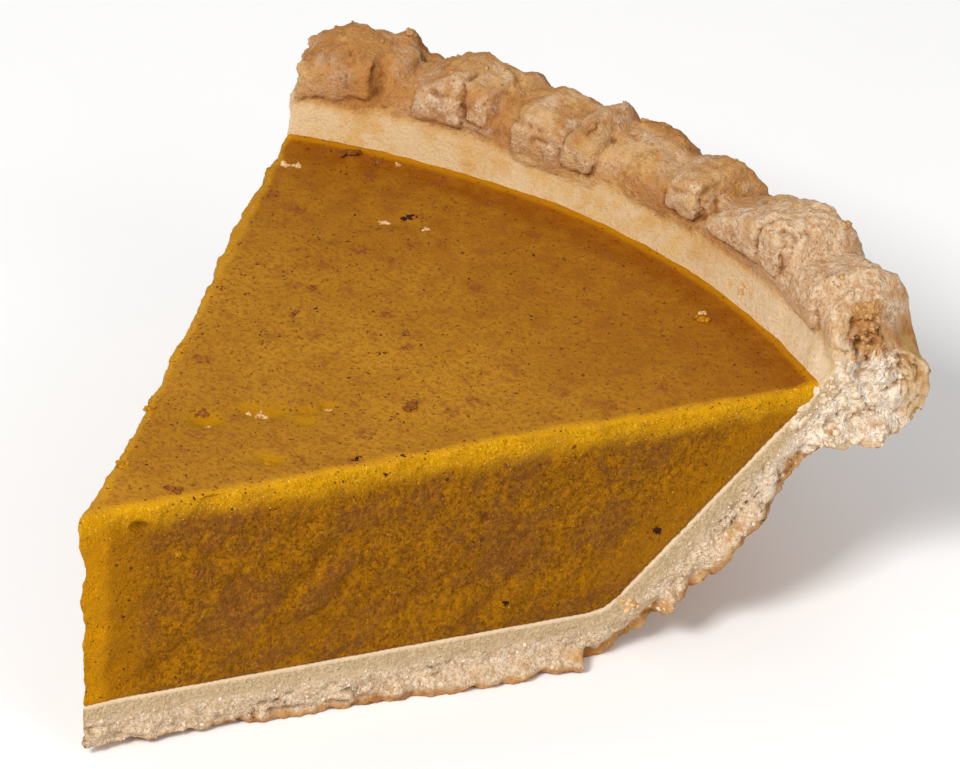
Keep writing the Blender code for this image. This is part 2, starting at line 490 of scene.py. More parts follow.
class Skin:
    """A closed surface held as arrays, so that all its points move together."""

    def __init__(self, mesh: bpy.types.Mesh, shape: PieShape) -> None:
        """Read a mesh that stands in the pie's own measure.

        Args:
            mesh: The mesh to hold.
            shape: The slice's sizes.
        """
        self.mesh = mesh
        self.shape = shape
        self.points = np.zeros((0, 3))
        self.normals = np.zeros((0, 3))
        self.read()

    def read(self) -> None:
        """Read the points and their normals from the mesh."""
        count = len(self.mesh.vertices)
        points = np.empty(count * 3, np.float32)
        normals = np.empty(count * 3, np.float32)
        self.mesh.vertices.foreach_get("co", points)
        self.mesh.vertices.foreach_get("normal", normals)
        self.points = points.reshape(-1, 3).astype(float)
        self.normals = normals.reshape(-1, 3).astype(float)

    def smoothed(self, rounds: int) -> bmesh.types.BMesh:
        """Return a smoothed copy of the surface.

        Args:
            rounds: How often to smooth.

        Returns:
            The copy, for the caller to free.
        """
        even = bmesh.new()
        even.from_mesh(self.mesh)
        for _ in range(rounds):
            bmesh.ops.smooth_vert(even, verts=even.verts, factor=0.5,
                                  use_axis_x=True, use_axis_y=True, use_axis_z=True)
        return even

    def even(self, rounds: int) -> None:
        """Smooth away the steps that joining into one skin leaves along the edges.

        Args:
            rounds: How often to smooth.
        """
        even = self.smoothed(rounds)
        even.to_mesh(self.mesh)
        even.free()
        self.read()

    def push(self, distance: np.ndarray, direction: np.ndarray | None = None) -> None:
        """Move every point.

        Args:
            distance: How far each point moves, in metres.
            direction: One direction for all points; each point's normal if left out.
        """
        along = self.normals if direction is None else direction
        self.points = self.points + distance[:, None] * along
        self.mesh.vertices.foreach_set("co", self.points.astype(np.float32).ravel())
        self.mesh.update()
        self.read()

    def radius(self) -> np.ndarray:
        """Return each point's distance from the pie's centre line."""
        return np.hypot(self.points[:, 0], self.points[:, 1])

    def height(self) -> np.ndarray:
        """Return each point's height above the plate."""
        return self.points[:, 2]

    def angle(self) -> np.ndarray:
        """Return each point's angle in degrees from the right-hand cut."""
        turn = np.degrees(np.arctan2(self.points[:, 1], self.points[:, 0]))
        return turn - (90.0 - 0.5 * self.shape.slice_angle)

    def depth_in(self, cut: Cut) -> np.ndarray:
        """Return how far each point lies inside a cut face."""
        return self.points @ self.shape.inwards(cut)

    def depth_in_slice(self) -> np.ndarray:
        """Return how far each point lies inside the nearer cut face."""
        return np.minimum(self.depth_in(Cut.RIGHT), self.depth_in(Cut.LEFT))

    def on_cut(self, cut: Cut) -> np.ndarray:
        """Return where the skin belongs to a cut face.

        Args:
            cut: The cut face.

        Returns:
            One on the face and nought elsewhere.
        """
        near = ramp(self.depth_in(cut), 1.3, 0.5)
        facing = -(self.normals @ self.shape.inwards(cut))
        return near * soft_step(facing, 0.35, 0.75)

    def on_cuts(self) -> np.ndarray:
        """Return one where the skin belongs to either cut face, and nought elsewhere."""
        return np.maximum(self.on_cut(Cut.RIGHT), self.on_cut(Cut.LEFT))

    def off_line(self, line: Sequence[Station]) -> np.ndarray:
        """Return each point's distance, in radius and height, from a line.

        Args:
            line: The stations of the line.

        Returns:
            The distance to the nearest part of the line, in metres.
        """
        spots = np.stack([self.radius(), self.height()], axis=1)
        nearest = np.full(len(spots), 1.0)
        for start, end in zip(line[:-1], line[1:]):
            first, run = np.array(start), np.array(end) - np.array(start)
            share = np.clip((spots - first) @ run / max(float(run @ run), 1e-12), 0.0, 1.0)
            gap = np.linalg.norm(spots - first - share[:, None] * run, axis=1)
            nearest = np.minimum(nearest, gap)
        return nearest

    def off_bed(self) -> np.ndarray:
        """Return each point's distance from where custard and pastry meet."""
        return self.off_line(self.shape.holding_side(0.0))

    def relief(self, rounds: int) -> np.ndarray:
        """Return how far each point stands proud of its smoothed surroundings.

        Args:
            rounds: How often to smooth; more rounds reach further.

        Returns:
            The height in metres, below nought in a hollow.
        """
        even = self.smoothed(rounds)
        level = np.array([vert.co for vert in even.verts])
        even.free()
        return np.einsum("ij,ij->i", self.points - level, self.normals)

    def note(self, name: str, values: np.ndarray) -> None:
        """Write one value for each point, for the finish to read.

        Args:
            name: The attribute's name.
            values: A value for each point.
        """
        layer = self.mesh.attributes.new(name, "FLOAT", "POINT")
        layer.data.foreach_set("value", values.astype(np.float32))


class Bench:
    """Lays out the nodes of one material."""

    def __init__(self, name: str) -> None:
        """Start a material with one shader on its output.

        Args:
            name: The material's name.
        """
        self.material = bpy.data.materials.new(name)
        self.material.use_nodes = True
        self.tree = self.material.node_tree
        self.shader = self.tree.nodes["Principled BSDF"]
        place = self.tree.nodes.new("ShaderNodeTexCoord")
        self.place = place.outputs["Object"]

    def fill(self, socket: Socket, value: object) -> None:
        """Set a socket to a plain value, or link it to another socket.

        Args:
            socket: The socket to fill.
            value: A number, a colour or another node's output.
        """
        if isinstance(value, Socket):
            self.tree.links.new(value, socket)
        else:
            socket.default_value = value

    def note(self, name: str) -> Socket:
        """Return a value that the skin holds.

        Args:
            name: The name that it was noted under.

        Returns:
            The value.
        """
        node = self.tree.nodes.new("ShaderNodeAttribute")
        node.attribute_name = name
        return node.outputs["Fac"]

    def speckle(
        self, size: float, detail: float = 3.0, roughness: float = 0.6, shift: float = 0.0,
    ) -> Socket:
        """Return soft noise.

        Args:
            size: The size of its lumps, in millimetres.
            detail: How many finer layers it has.
            roughness: How strong the finer layers are.
            shift: Moves the pattern, so that two of one size differ.

        Returns:
            The noise, from nought to one.
        """
        node = self.tree.nodes.new("ShaderNodeTexNoise")
        node.inputs["Scale"].default_value = 1.0 / (size * MM)
        node.inputs["Detail"].default_value = detail
        node.inputs["Roughness"].default_value = roughness
        self.fill(node.inputs["Vector"], self.moved(shift))
        return node.outputs["Fac"]

    def grains(self, size: float, shift: float = 0.0) -> Socket:
        """Return the distance from the middles of strewn grains.

        Args:
            size: The usual distance between two grains, in millimetres.
            shift: Moves the pattern, so that two of one size differ.

        Returns:
            Nought in a grain's middle, rising away from it.
        """
        node = self.tree.nodes.new("ShaderNodeTexVoronoi")
        node.inputs["Scale"].default_value = 1.0 / (size * MM)
        self.fill(node.inputs["Vector"], self.moved(shift))
        return node.outputs["Distance"]

    def cracks(self, size: float, bend: float, shift: float = 0.0) -> Socket:
        """Return the distance from a net of winding cracks.

        Args:
            size: The width of the flakes between the cracks, in millimetres.
            bend: How far the cracks wander from straight, in millimetres.
            shift: Moves the net, so that two of one size differ.

        Returns:
            Nought on a crack, rising to about one half within a flake.
        """
        waver = self.tree.nodes.new("ShaderNodeTexNoise")
        waver.inputs["Scale"].default_value = 0.9 / (size * MM)
        waver.inputs["Detail"].default_value = 3.0
        self.fill(waver.inputs["Vector"], self.moved(shift + 0.21))
        bent = self.tree.nodes.new("ShaderNodeVectorMath")
        bent.operation = "MULTIPLY_ADD"
        self.fill(bent.inputs[0], waver.outputs["Color"])
        bent.inputs[1].default_value = [bend * MM] * 3
        self.fill(bent.inputs[2], self.moved(shift))
        node = self.tree.nodes.new("ShaderNodeTexVoronoi")
        node.feature = "DISTANCE_TO_EDGE"
        node.inputs["Scale"].default_value = 1.0 / (size * MM)
        self.fill(node.inputs["Vector"], bent.outputs["Vector"])
        return node.outputs["Distance"]

    def moved(self, shift: float) -> Socket:
        """Return the object's coordinates, shifted.

        Args:
            shift: How far, in metres along X and about as far along Y and Z.

        Returns:
            The coordinates.
        """
        if shift == 0.0:
            return self.place
        node = self.tree.nodes.new("ShaderNodeMapping")
        node.inputs["Location"].default_value = (shift, shift * 0.7, shift * 1.3)
        self.tree.links.new(self.place, node.inputs["Vector"])
        return node.outputs["Vector"]

    def join(self, kind: str, first: object, second: object) -> Socket:
        """Return two values worked into one.

        Args:
            kind: How, by the Math node's name for it.
            first: The first value.
            second: The second value.

        Returns:
            The result, held between nought and one.
        """
        node = self.tree.nodes.new("ShaderNodeMath")
        node.operation = kind
        node.use_clamp = True
        self.fill(node.inputs[0], first)
        self.fill(node.inputs[1], second)
        return node.outputs[0]

    def times(self, first: object, second: object) -> Socket:
        """Return one value lessened by another."""
        return self.join("MULTIPLY", first, second)

    def rise(self, value: Socket, low: float, high: float,
             bottom: float = 0.0, top: float = 1.0) -> Socket:
        """Return a soft rise of a value.

        Args:
            value: The value to follow.
            low: Where the rise starts.
            high: Where it ends; below low for a fall.
            bottom: What it gives at the start.
            top: What it gives at the end.

        Returns:
            The rise.
        """
        node = self.tree.nodes.new("ShaderNodeMapRange")
        node.interpolation_type = "SMOOTHSTEP"
        for name, number in (("From Min", low), ("From Max", high),
                             ("To Min", bottom), ("To Max", top)):
            node.inputs[name].default_value = number
        self.fill(node.inputs["Value"], value)
        return node.outputs["Result"]

    def blend(self, share: object, first: object, second: object,
              kind: str = "MIX") -> Socket:
        """Return one colour laid over another.

        Args:
            share: How much of the second shows.
            first: The colour underneath.
            second: The colour on top.
            kind: How they mix, by the Mix node's name for it.

        Returns:
            The colour.
        """
        node = self.tree.nodes.new("ShaderNodeMix")
        node.data_type = "RGBA"
        node.blend_type = kind
        self.fill(node.inputs["Factor"], share)
        self.fill(node.inputs["A"], first)
        self.fill(node.inputs["B"], second)
        return node.outputs["Result"]

    def bump(self, height: object, strength: object, depth: float,
             under: Socket | None = None) -> Socket:
        """Return normals bent by a height pattern.

        Args:
            height: The pattern.
            strength: How strongly it shows, from nought to one.
            depth: The height between nought and one on the pattern, in millimetres.
            under: Normals already bent by another pattern.

        Returns:
            The bent normals.
        """
        node = self.tree.nodes.new("ShaderNodeBump")
        node.inputs["Distance"].default_value = depth * MM
        self.fill(node.inputs["Strength"], strength)
        self.fill(node.inputs["Height"], height)
        if under is not None:
            self.fill(node.inputs["Normal"], under)
        return node.outputs["Normal"]

    def finish(
        self, colour: Socket, roughness: object, gloss: float, normals: Socket | None = None,
    ) -> bpy.types.Material:
        """Put the finish together on the shader.

        Args:
            colour: The colour.
            roughness: The roughness.
            gloss: The level of the specular.
            normals: The bent normals, if there are any.

        Returns:
            The material.
        """
        self.fill(self.shader.inputs["Base Color"], colour)
        self.fill(self.shader.inputs["Roughness"], roughness)
        self.shader.inputs["Specular IOR Level"].default_value = gloss
        if normals is not None:
            self.fill(self.shader.inputs["Normal"], normals)
        return self.material


@dataclass(frozen=True)
class PastryFinish:
    """Baked shortcrust: cream where pale, golden where the oven reached it, with painted shade in
    its hollows and creases.
    """

    pale: Colour = tone(214, 182, 138)
    yellow: Colour = tone(214, 174, 106)
    straw: Colour = tone(208, 164, 104)
    golden: Colour = tone(184, 126, 64)
    # deep is the most baked brown, and also the painted shade laid over hollows and creases.
    deep: Colour = tone(140, 86, 38)
    toast: Colour = tone(158, 104, 54)
    flour: Colour = tone(228, 202, 170)
    crumb: Colour = tone(230, 208, 180)
    # crumb_shade is the crumb's own tan between grains, and painted shade in its gaps and cracks.
    crumb_shade: Colour = tone(184, 146, 102)
    white: Colour = tone(246, 232, 214)
    soaked: Colour = tone(190, 161, 118)
    seal: Colour = tone(216, 190, 158)

    def make(self) -> bpy.types.Material:
        """Make the pastry's material, which reads the skin's notes.

        Returns:
            The material.
        """
        bench = Bench("baked_pastry")
        patches = bench.speckle(9, 4.0, 0.62)
        medium = bench.speckle(3.2, 4.0, 0.65, shift=0.7)
        fine = bench.speckle(1.3, 4.0, 0.7, shift=0.3)
        dust = bench.speckle(0.5, 3.0, 0.75, shift=0.6)
        flakes = bench.cracks(2.3, 1.6)
        chips = bench.cracks(0.9, 0.7, 0.5)
        normals = self.bump(bench, fine, dust, flakes, chips)
        skin = self.skin_colour(bench, patches, medium, fine, dust)
        crumb = self.crumb_colour(bench, fine, dust, chips)
        whole = bench.blend(bench.note("cut"), skin, crumb)
        # Painted shade: hollows and the creases round the pads are multiplied towards the deep
        # brown.
        whole = bench.blend(bench.rise(bench.note("hollow"), 0.0, 1.0, 0.0, 0.6),
                            whole, self.deep, "MULTIPLY")
        return bench.finish(whole, bench.rise(dust, 0.3, 0.7, 0.75, 0.95), 0.12, normals)

    def skin_colour(
        self, bench: Bench, patches: Socket, medium: Socket, fine: Socket, dust: Socket,
    ) -> Socket:
        """Return the colour of the uncut pastry.

        Args:
            bench: Where the nodes are laid out.
            patches: Noise of the largest patches.
            medium: Noise of a few millimetres.
            fine: Noise of about a millimetre.
            dust: Noise of the flour's grain.

        Returns:
            The colour.
        """
        spread = bench.join("ADD", bench.note("bake"), bench.rise(patches, 0.3, 0.7, -0.16, 0.16))
        spread = bench.join("ADD", spread, bench.rise(medium, 0.3, 0.7, -0.12, 0.12))
        spread = bench.join("ADD", spread, bench.rise(fine, 0.25, 0.75, -0.10, 0.10))
        stains = bench.speckle(5.0, 4.0, 0.6, shift=3.3)
        pale = bench.blend(bench.rise(stains, 0.54, 0.64, 0.0, 0.6), self.pale, self.yellow)
        skin = bench.blend(bench.rise(spread, 0.04, 0.36), pale, self.straw)
        skin = bench.blend(bench.rise(spread, 0.32, 0.66), skin, self.golden)
        skin = bench.blend(bench.rise(spread, 0.68, 1.0), skin, self.deep)
        freckles = bench.speckle(0.9, 4.0, 0.78, shift=2.1)
        freckle = bench.times(bench.rise(freckles, 0.56, 0.68, 0.0, 0.75),
                              bench.rise(bench.note("bake"), 0.25, 0.5))
        skin = bench.blend(freckle, skin, self.deep)
        floury = bench.times(bench.note("flour"), bench.rise(medium, 0.38, 0.56, 0.35))
        floury = bench.times(floury, bench.rise(fine, 0.38, 0.58, 0.45, 1.0))
        floury = bench.times(floury, bench.rise(dust, 0.32, 0.62, 0.45, 1.0))
        skin = bench.blend(floury, skin, self.flour)
        crisp = bench.speckle(0.62, 4.0, 0.82, shift=5.2)
        toasted = bench.times(bench.rise(crisp, 0.54, 0.62, 0.0, 0.85),
                              bench.rise(medium, 0.44, 0.58, 0.25, 1.0))
        toasted = bench.times(toasted, bench.rise(bench.note("bake"), 0.3, 0.5))
        return bench.blend(toasted, skin, self.toast)

    def crumb_colour(
        self, bench: Bench, fine: Socket, dust: Socket, chips: Socket,
    ) -> Socket:
        """Return the colour of the cut pastry, partly painted shade between its grains and in its
        cracks.

        Args:
            bench: Where the nodes are laid out.
            fine: Noise of about a millimetre.
            dust: Noise of the finest grain.
            chips: Distance from the cracks between crumbs.

        Returns:
            The colour.
        """
        # Partly the crumb's own tan, partly painted shade: a fine mottle, the cracks between
        # crumbs and the finest grain.
        crumb = bench.blend(bench.rise(fine, 0.44, 0.66, 0.0, 0.55), self.crumb, self.crumb_shade)
        crumb = bench.blend(bench.rise(chips, 0.12, 0.0, 0.0, 0.35), crumb, self.crumb_shade)
        crumb = bench.blend(bench.rise(dust, 0.46, 0.62, 0.0, 0.75), crumb, self.crumb_shade)
        dusted = bench.times(bench.note("flour"), bench.rise(fine, 0.35, 0.6, 1.0, 0.45))
        crumb = bench.blend(dusted, crumb, self.white)
        wet = bench.blend(bench.rise(dust, 0.42, 0.62, 0.0, 0.45), self.soaked, self.crumb)
        crumb = bench.blend(bench.note("soak"), crumb, wet)
        return bench.blend(bench.note("seal"), crumb, self.seal)

    def bump(
        self, bench: Bench, fine: Socket, dust: Socket, flakes: Socket, chips: Socket,
    ) -> Socket:
        """Return normals roughened by flakes, crumbs and flour.

        Args:
            bench: Where the nodes are laid out.
            fine: Noise of about a millimetre.
            dust: Noise of the finest grain.
            flakes: Distance from the cracks between flakes.
            chips: Distance from the cracks between crumbs.

        Returns:
            The bent normals.
        """
        dry = bench.rise(bench.note("seal"), 0.0, 1.0, 1.0, 0.2)
        normals = bench.bump(fine, bench.times(dry, 0.7), 0.6)
        flaky = bench.times(bench.note("flour"), 0.35)
        normals = bench.bump(bench.rise(flakes, 0.0, 0.14), flaky, 0.08, normals)
        crumbly = bench.times(bench.note("cut"), dry)
        normals = bench.bump(bench.rise(chips, 0.0, 0.3), crumbly, 0.09, normals)
        return bench.bump(dust, bench.times(dry, 0.8), 0.5, normals)


@dataclass(frozen=True)
class CustardFinish:
    """Set pumpkin custard: a matt skin on top, moist mottled cut faces, and painted glints, glow
    and shade.
    """

    top: Colour = tone(170, 115, 24)
    top_light: Colour = tone(182, 126, 29)
    top_dark: Colour = tone(142, 84, 26)
    smudge: Colour = tone(128, 62, 30)
    rim_band: Colour = tone(138, 74, 0)
    rim_glow: Colour = tone(190, 126, 0)
    face: Colour = tone(144, 90, 0)
    # face_light is a lighter mottle, and also the colour of the painted glow.
    face_light: Colour = tone(164, 105, 0)
    face_dark: Colour = tone(104, 60, 8)
    face_stain: Colour = tone(116, 68, 30)
    # glint is the colour of painted glints.
    glint: Colour = tone(246, 204, 90)
    # edge is the painted glow of light shining through the thin upper edges.
    edge: Colour = tone(206, 146, 4)
    tip: Colour = tone(194, 130, 0)
    dent: Colour = tone(170, 117, 0)
    spice: Colour = tone(84, 38, 14)

    def make(self) -> bpy.types.Material:
        """Make the custard's material, which reads the skin's notes.

        Returns:
            The material.
        """
        bench = Bench("pumpkin_custard")
        blots = bench.speckle(3.4, 4.0, 0.62, shift=0.4)
        fine = bench.speckle(0.8, 4.0, 0.72, shift=0.9)
        grain = bench.speckle(0.4, 2.0, 0.6, shift=0.1)
        top = self.top_colour(bench, blots, fine)
        face = self.face_colour(bench, blots, fine, grain)
        whole = bench.blend(bench.note("cut"), top, face)
        # Painted glow along the thin upper edges of the cut faces.
        glow = bench.times(bench.note("edge"), bench.rise(fine, 0.3, 0.6, 0.5, 1.0))
        whole = bench.blend(glow, whole, self.edge)
        # Painted glints: pale yellow specks, most along the thin edges, fainter over the cut
        # faces.
        sparks = bench.speckle(0.34, 2.0, 0.7, shift=4.4)
        shine = bench.join("MAXIMUM", bench.note("edge"),
                           bench.rise(bench.note("cut"), 0.0, 1.0, 0.0, 0.22))
        shine = bench.times(shine, bench.rise(sparks, 0.60, 0.70, 0.0, 0.75))
        whole = bench.blend(shine, whole, self.glint)
        flecks = bench.grains(1.3, shift=0.5)
        fleck = bench.rise(flecks, 0.17, 0.09, 0.0, 0.7)
        whole = bench.blend(fleck, whole, self.spice)
        wet = bench.join("MAXIMUM", bench.rise(bench.note("cut"), 0.0, 1.0, 0.0, 0.5),
                         bench.note("dent"))
        wet = bench.join("MAXIMUM", wet, bench.note("edge"))
        cut = bench.note("cut")
        normals = bench.bump(blots, bench.times(cut, 0.8), 1.1)
        normals = bench.bump(fine, bench.rise(cut, 0.0, 1.0, 0.55, 0.9), 0.5, normals)
        normals = bench.bump(grain, bench.rise(cut, 0.0, 1.0, 0.55, 1.0), 0.32, normals)
        return bench.finish(whole, bench.rise(wet, 0.0, 1.0, 0.55, 0.2), 0.045, normals)

    def top_colour(self, bench: Bench, blots: Socket, fine: Socket) -> Socket:
        """Return the colour of the upper skin.

        Args:
            bench: Where the nodes are laid out.
            blots: Noise of a few millimetres.
            fine: Noise of about a millimetre.

        Returns:
            The colour.
        """
        broad = bench.speckle(16, 3.0, 0.55)
        top = bench.blend(bench.rise(broad, 0.35, 0.65), self.top, self.top_light)
        band = bench.times(bench.note("rim_band"), bench.rise(blots, 0.36, 0.64, 0.8, 1.2))
        top = bench.blend(band, top, self.rim_band)
        top = bench.blend(bench.rise(blots, 0.5, 0.72, 0.0, 0.6), top, self.top_dark)
        top = bench.blend(bench.rise(fine, 0.44, 0.64, 0.0, 0.7), top, self.top_dark)
        spots = bench.grains(7.5, shift=0.2)
        smudge = bench.rise(spots, 0.26, 0.08, 0.0, 0.75)
        smudge = bench.times(smudge, bench.rise(fine, 0.35, 0.6))
        top = bench.blend(smudge, top, self.smudge)
        dent = bench.times(bench.note("dent"), bench.rise(fine, 0.36, 0.6, 1.0, 0.8))
        top = bench.blend(dent, top, self.dent)
        return bench.blend(bench.note("rim_glow"), top, self.rim_glow)

    def face_colour(
        self, bench: Bench, blots: Socket, fine: Socket, grain: Socket,
    ) -> Socket:
        """Return the colour of the cut custard.

        Args:
            bench: Where the nodes are laid out.
            blots: Noise of a few millimetres.
            fine: Noise of about a millimetre.
            grain: Noise of the finest grain.

        Returns:
            The colour.
        """
        face = bench.blend(bench.rise(blots, 0.4, 0.6), self.face_light, self.face)
        face = bench.blend(bench.rise(fine, 0.40, 0.62, 0.0, 0.85), face, self.face_dark)
        face = bench.blend(bench.rise(grain, 0.50, 0.66, 0.0, 0.65), face, self.face_light)
        stain = bench.times(bench.note("stain"), bench.rise(fine, 0.34, 0.56, 0.45, 1.0))
        stain = bench.times(stain, bench.rise(bench.note("glow"), 0.0, 0.8, 0.85, 0.2))
        face = bench.blend(stain, face, self.face_stain)
        # Painted glow: the face turns lighter near the tip and near the pastry.
        face = bench.blend(bench.note("glow"), face, self.face_light)
        face = bench.blend(bench.note("tip"), face, self.tip)
        # Painted shade: the hollows of the cut faces turn towards the spice's brown.
        return bench.blend(bench.rise(bench.note("hollow"), 0.0, 1.0, 0.0, 0.7),
                           face, self.spice)


@dataclass(frozen=True)
class PlainFoodFinish:
    """A small piece of food of one colour with a mottle, whose size is in millimetres."""

    name: str
    base: Colour
    shade: Colour
    mottle: float = 0.7
    roughness: float = 0.8

    def make(self) -> bpy.types.Material:
        """Make the material.

        Returns:
            The material.
        """
        bench = Bench(self.name)
        spots = bench.speckle(self.mottle, 4.0, 0.7)
        colour = bench.blend(bench.rise(spots, 0.38, 0.64), self.base, self.shade)
        return bench.finish(colour, self.roughness, 0.15, bench.bump(spots, 0.8, 0.3))


def show(
    name: str, mesh: bpy.types.Mesh, material: bpy.types.Material, shape: PieShape,
    slot: str, replaced: str | None = None,
) -> bpy.types.Object:
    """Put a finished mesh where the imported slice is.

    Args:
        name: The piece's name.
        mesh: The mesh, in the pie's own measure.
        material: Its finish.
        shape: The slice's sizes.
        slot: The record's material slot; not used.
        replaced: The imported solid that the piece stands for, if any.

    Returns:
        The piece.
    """
    mesh.transform(Matrix.Translation(shape.tip()))
    mesh.materials.clear()
    mesh.materials.append(material)
    mesh.shade_smooth()
    mesh.name = name
    piece = bpy.data.objects.new(name, mesh)
    bpy.context.scene.collection.objects.link(piece)
    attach(piece, "root")
    if replaced:
        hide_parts(replaced)
    return piece


@dataclass(frozen=True)
class Lump:
    """A rounded block of dough on the rim.

    The angle is in degrees from the right-hand cut; the rest is in millimetres.  The
    half sizes run along the rim, towards the middle and upwards.  A boxy value of one
    gives a ball, and a lower one a block.
    """

    angle: float
    radius: float
    height: float
    half: tuple[float, float, float]
    boxy: float = 0.7

    def add(self, body: bmesh.types.BMesh, shape: PieShape) -> None:
        """Add the block to a body that is about to be joined into one skin.

        Args:
            body: The body.
            shape: The slice's sizes.
        """
        made = bmesh.ops.create_icosphere(body, subdivisions=4, radius=1.0)["verts"]
        for vert in made:
            vert.co = [math.copysign(abs(part) ** self.boxy, part) for part in vert.co]
        turn = math.radians(self.angle - 0.5 * shape.slice_angle)
        matrix = (
            Matrix.Translation(shape.place((self.radius * MM, self.height * MM), self.angle))
            @ Matrix.Rotation(turn, 4, "Z")
            @ Matrix.Diagonal((*[half * MM for half in self.half], 1.0))
        )
        bmesh.ops.transform(body, matrix=matrix, verts=made)


@dataclass
class Crust:
    """The baked crust, in one piece: bottom, sloping wall and crimped rim.

    The hollow is torn in the rim's right-hand end.  The notch is the deep slot beside
    the left-hand crimp, by its angle and height.  The lip is how far the crust's outer
    edge stands proud of the right-hand cut at each radius.  All three are in
    millimetres, and the notch's angle is in degrees.
    """

    shape: PieShape
    finish: PastryFinish = field(default_factory=PastryFinish)
    voxel: float = 0.45 * MM
    steps: int = 168
    triangles: int = 172_000
    extra_lumps: tuple[Lump, ...] = (
        Lump(48.8, 113.2, 48.3, (3.2, 3.3, 2.5), boxy=0.6),
        Lump(12.9, 112.5, 49.9, (3.4, 3.0, 1.5)),
    )
    hollow_radius: float = 112.4
    notch: tuple[float, float] = (49.2, 46.6)
    pads: tuple[Pad, ...] = (
        Pad(51.5, 55.2, 44.3, 49.6, 0.4, 0.35, 0.9),
        Pad(49.5, 51.6, 45.0, 52.0, 0.2, 0.6, 0.7),
        Pad(41.9, 46.3, 44.2, 49.1, 0.45, 0.35, 0.6),
        Pad(39.4, 42.0, 45.5, 52.0, 0.3, 0.75, 1.1),
        Pad(33.1, 37.9, 41.9, 48.6, 0.4, 0.4, 0.8),
        Pad(33.2, 35.8, 42.3, 47.2, 0.3, 0.4, 1.9),
        Pad(30.2, 33.2, 43.8, 50.6, 0.3, 0.8, 1.5, -0.12),
        Pad(22.8, 27.4, 42.9, 49.0, 0.3, 0.2, 1.4),
        Pad(19.4, 22.8, 44.8, 52.0, 0.4, 0.9, 1.5),
        Pad(11.9, 18.7, 44.8, 51.5, 0.45, 0.45, 1.4),
        Pad(8.9, 12.0, 46.0, 52.0, 0.4, 0.8, 1.4),
        Pad(3.6, 7.6, 42.4, 50.0, 0.4, 0.4, 1.5),
    )
    lip: tuple[tuple[float, float], ...] = (
        (0.0, 0.0), (25.0, 0.0), (45.0, 0.8), (58.0, 2.1), (66.0, 1.6), (70.8, 3.0),
        (72.2, -1.6), (75.6, -0.8), (78.0, -1.6), (80.8, -1.5), (82.5, -1.7), (84.2, 1.2),
        (86.0, 0.8), (87.6, -1.2), (89.0, 0.2), (91.1, 1.4), (94.0, 1.6), (97.9, 1.2),
        (99.8, -0.5), (103.0, -0.6), (105.0, 1.4),
        (110.0, 1.4), (113.6, 2.2), (115.2, 1.0), (116.0, 0.0), (122.0, 0.3),
    )

    def build(self) -> bpy.types.Object:
        """Build the crust and dress it.

        Returns:
            The finished crust.
        """
        body = sweep(self.shape, self.section, self.steps)
        for lump in self.extra_lumps:
            lump.add(body, self.shape)
        mesh = grow_skin("baked_crust", body, self.voxel)
        mesh = thin_out(mesh, self.hidden(Skin(mesh, self.shape)), self.triangles)
        skin = Skin(mesh, self.shape)
        skin.even(2)
        self.pinch(skin)
        self.roughen(skin)
        self.crack_cut_faces(skin)
        self.chip_edges(skin)
        self.shape_rim_end(skin)
        self.wear_tip(skin)
        skin.push(np.maximum(-skin.height(), 0.0), UPWARDS)
        self.note_finish(skin)
        return show("baked_crust", skin.mesh, self.finish.make(), self.shape, "crust", "crust")

    def section(self, angle: float) -> list[Station]:
        """Return the crust's outline, starting on the centre line.

        Args:
            angle: Where round the pie, in degrees from the right-hand cut.

        Returns:
            The stations of the outline.
        """
        return [(0.0, 0.0), (self.shape.base_radius, 0.0), *self.shape.outer_wall(),
                *self.shape.rim(angle), *self.shape.holding_side(0.0)]

    def hidden(self, skin: Skin) -> np.ndarray:
        """Find where the skin is never seen: under the custard and underneath.

        Args:
            skin: The surface to read.

        Returns:
            One where it is hidden and nought elsewhere.
        """
        near = skin.depth_in_slice()
        inner = skin.off_bed()
        held = (inner < 0.6 * MM) & (skin.height() < 36.6 * MM) & (near > 1.6 * MM)
        under = (skin.height() < 0.3 * MM) & (near > 3.0 * MM) & (
            skin.radius() < self.shape.base_radius - 2.0 * MM)
        return (held | under).astype(float)

    def outward(self, skin: Skin) -> np.ndarray:
        """Return, for each point, the level direction away from the pie's centre line."""
        flat = skin.points * np.array([1.0, 1.0, 0.0])
        return flat / np.maximum(np.linalg.norm(flat, axis=1), 1e-6)[:, None]

    def creases(self, skin: Skin) -> tuple[np.ndarray, np.ndarray]:
        """Lay the pads and their creases out over the front of the rim.

        Args:
            skin: The surface to read.

        Returns:
            How far the pads stand out, and how deep their creases are, at each point.
        """
        front = ramp(skin.radius(), 112.5, 109.5)
        front *= ramp(skin.height(), 40.5, 42.0)
        angle, height = skin.angle(), skin.height()
        waver = 0.48 * MM * Grain(2.4, 8.1).rough(skin.points, 3)
        broken = 0.3 + 0.7 * soft_step(Grain(3.4, 18.2).soft(skin.points), -0.3, 0.25)
        proud, crease = np.zeros(len(angle)), np.zeros(len(angle))
        for pad in self.pads:
            outside = pad.outside(angle, height) + waver
            raised = pad.proud * MM * ramp(outside, 0.35, -0.35)
            proud = np.maximum(proud, raised)
            pressed = pad.crease * MM * np.exp(-(outside / (0.34 * MM)) ** 2)
            crease = np.maximum(crease, pressed)
        return proud * front, crease * front * broken

    def pinch(self, skin: Skin) -> None:
        """Raise the pads along the front of the rim and press in the creases round them.

        Args:
            skin: The surface to work on.
        """
        proud, crease = self.creases(skin)
        skin.push(-proud, self.outward(skin))
        skin.push(-crease)
        front = ramp(skin.radius(), 114.0, 111.5)
        gap = (skin.angle() - self.notch[0]) * math.radians(1.0) * 108.5
        slot = np.exp(-(gap / 0.7) ** 2 - ((skin.height() / MM - self.notch[1]) / 2.8) ** 4)
        skin.push(front * slot * 1.4 * MM, self.outward(skin))

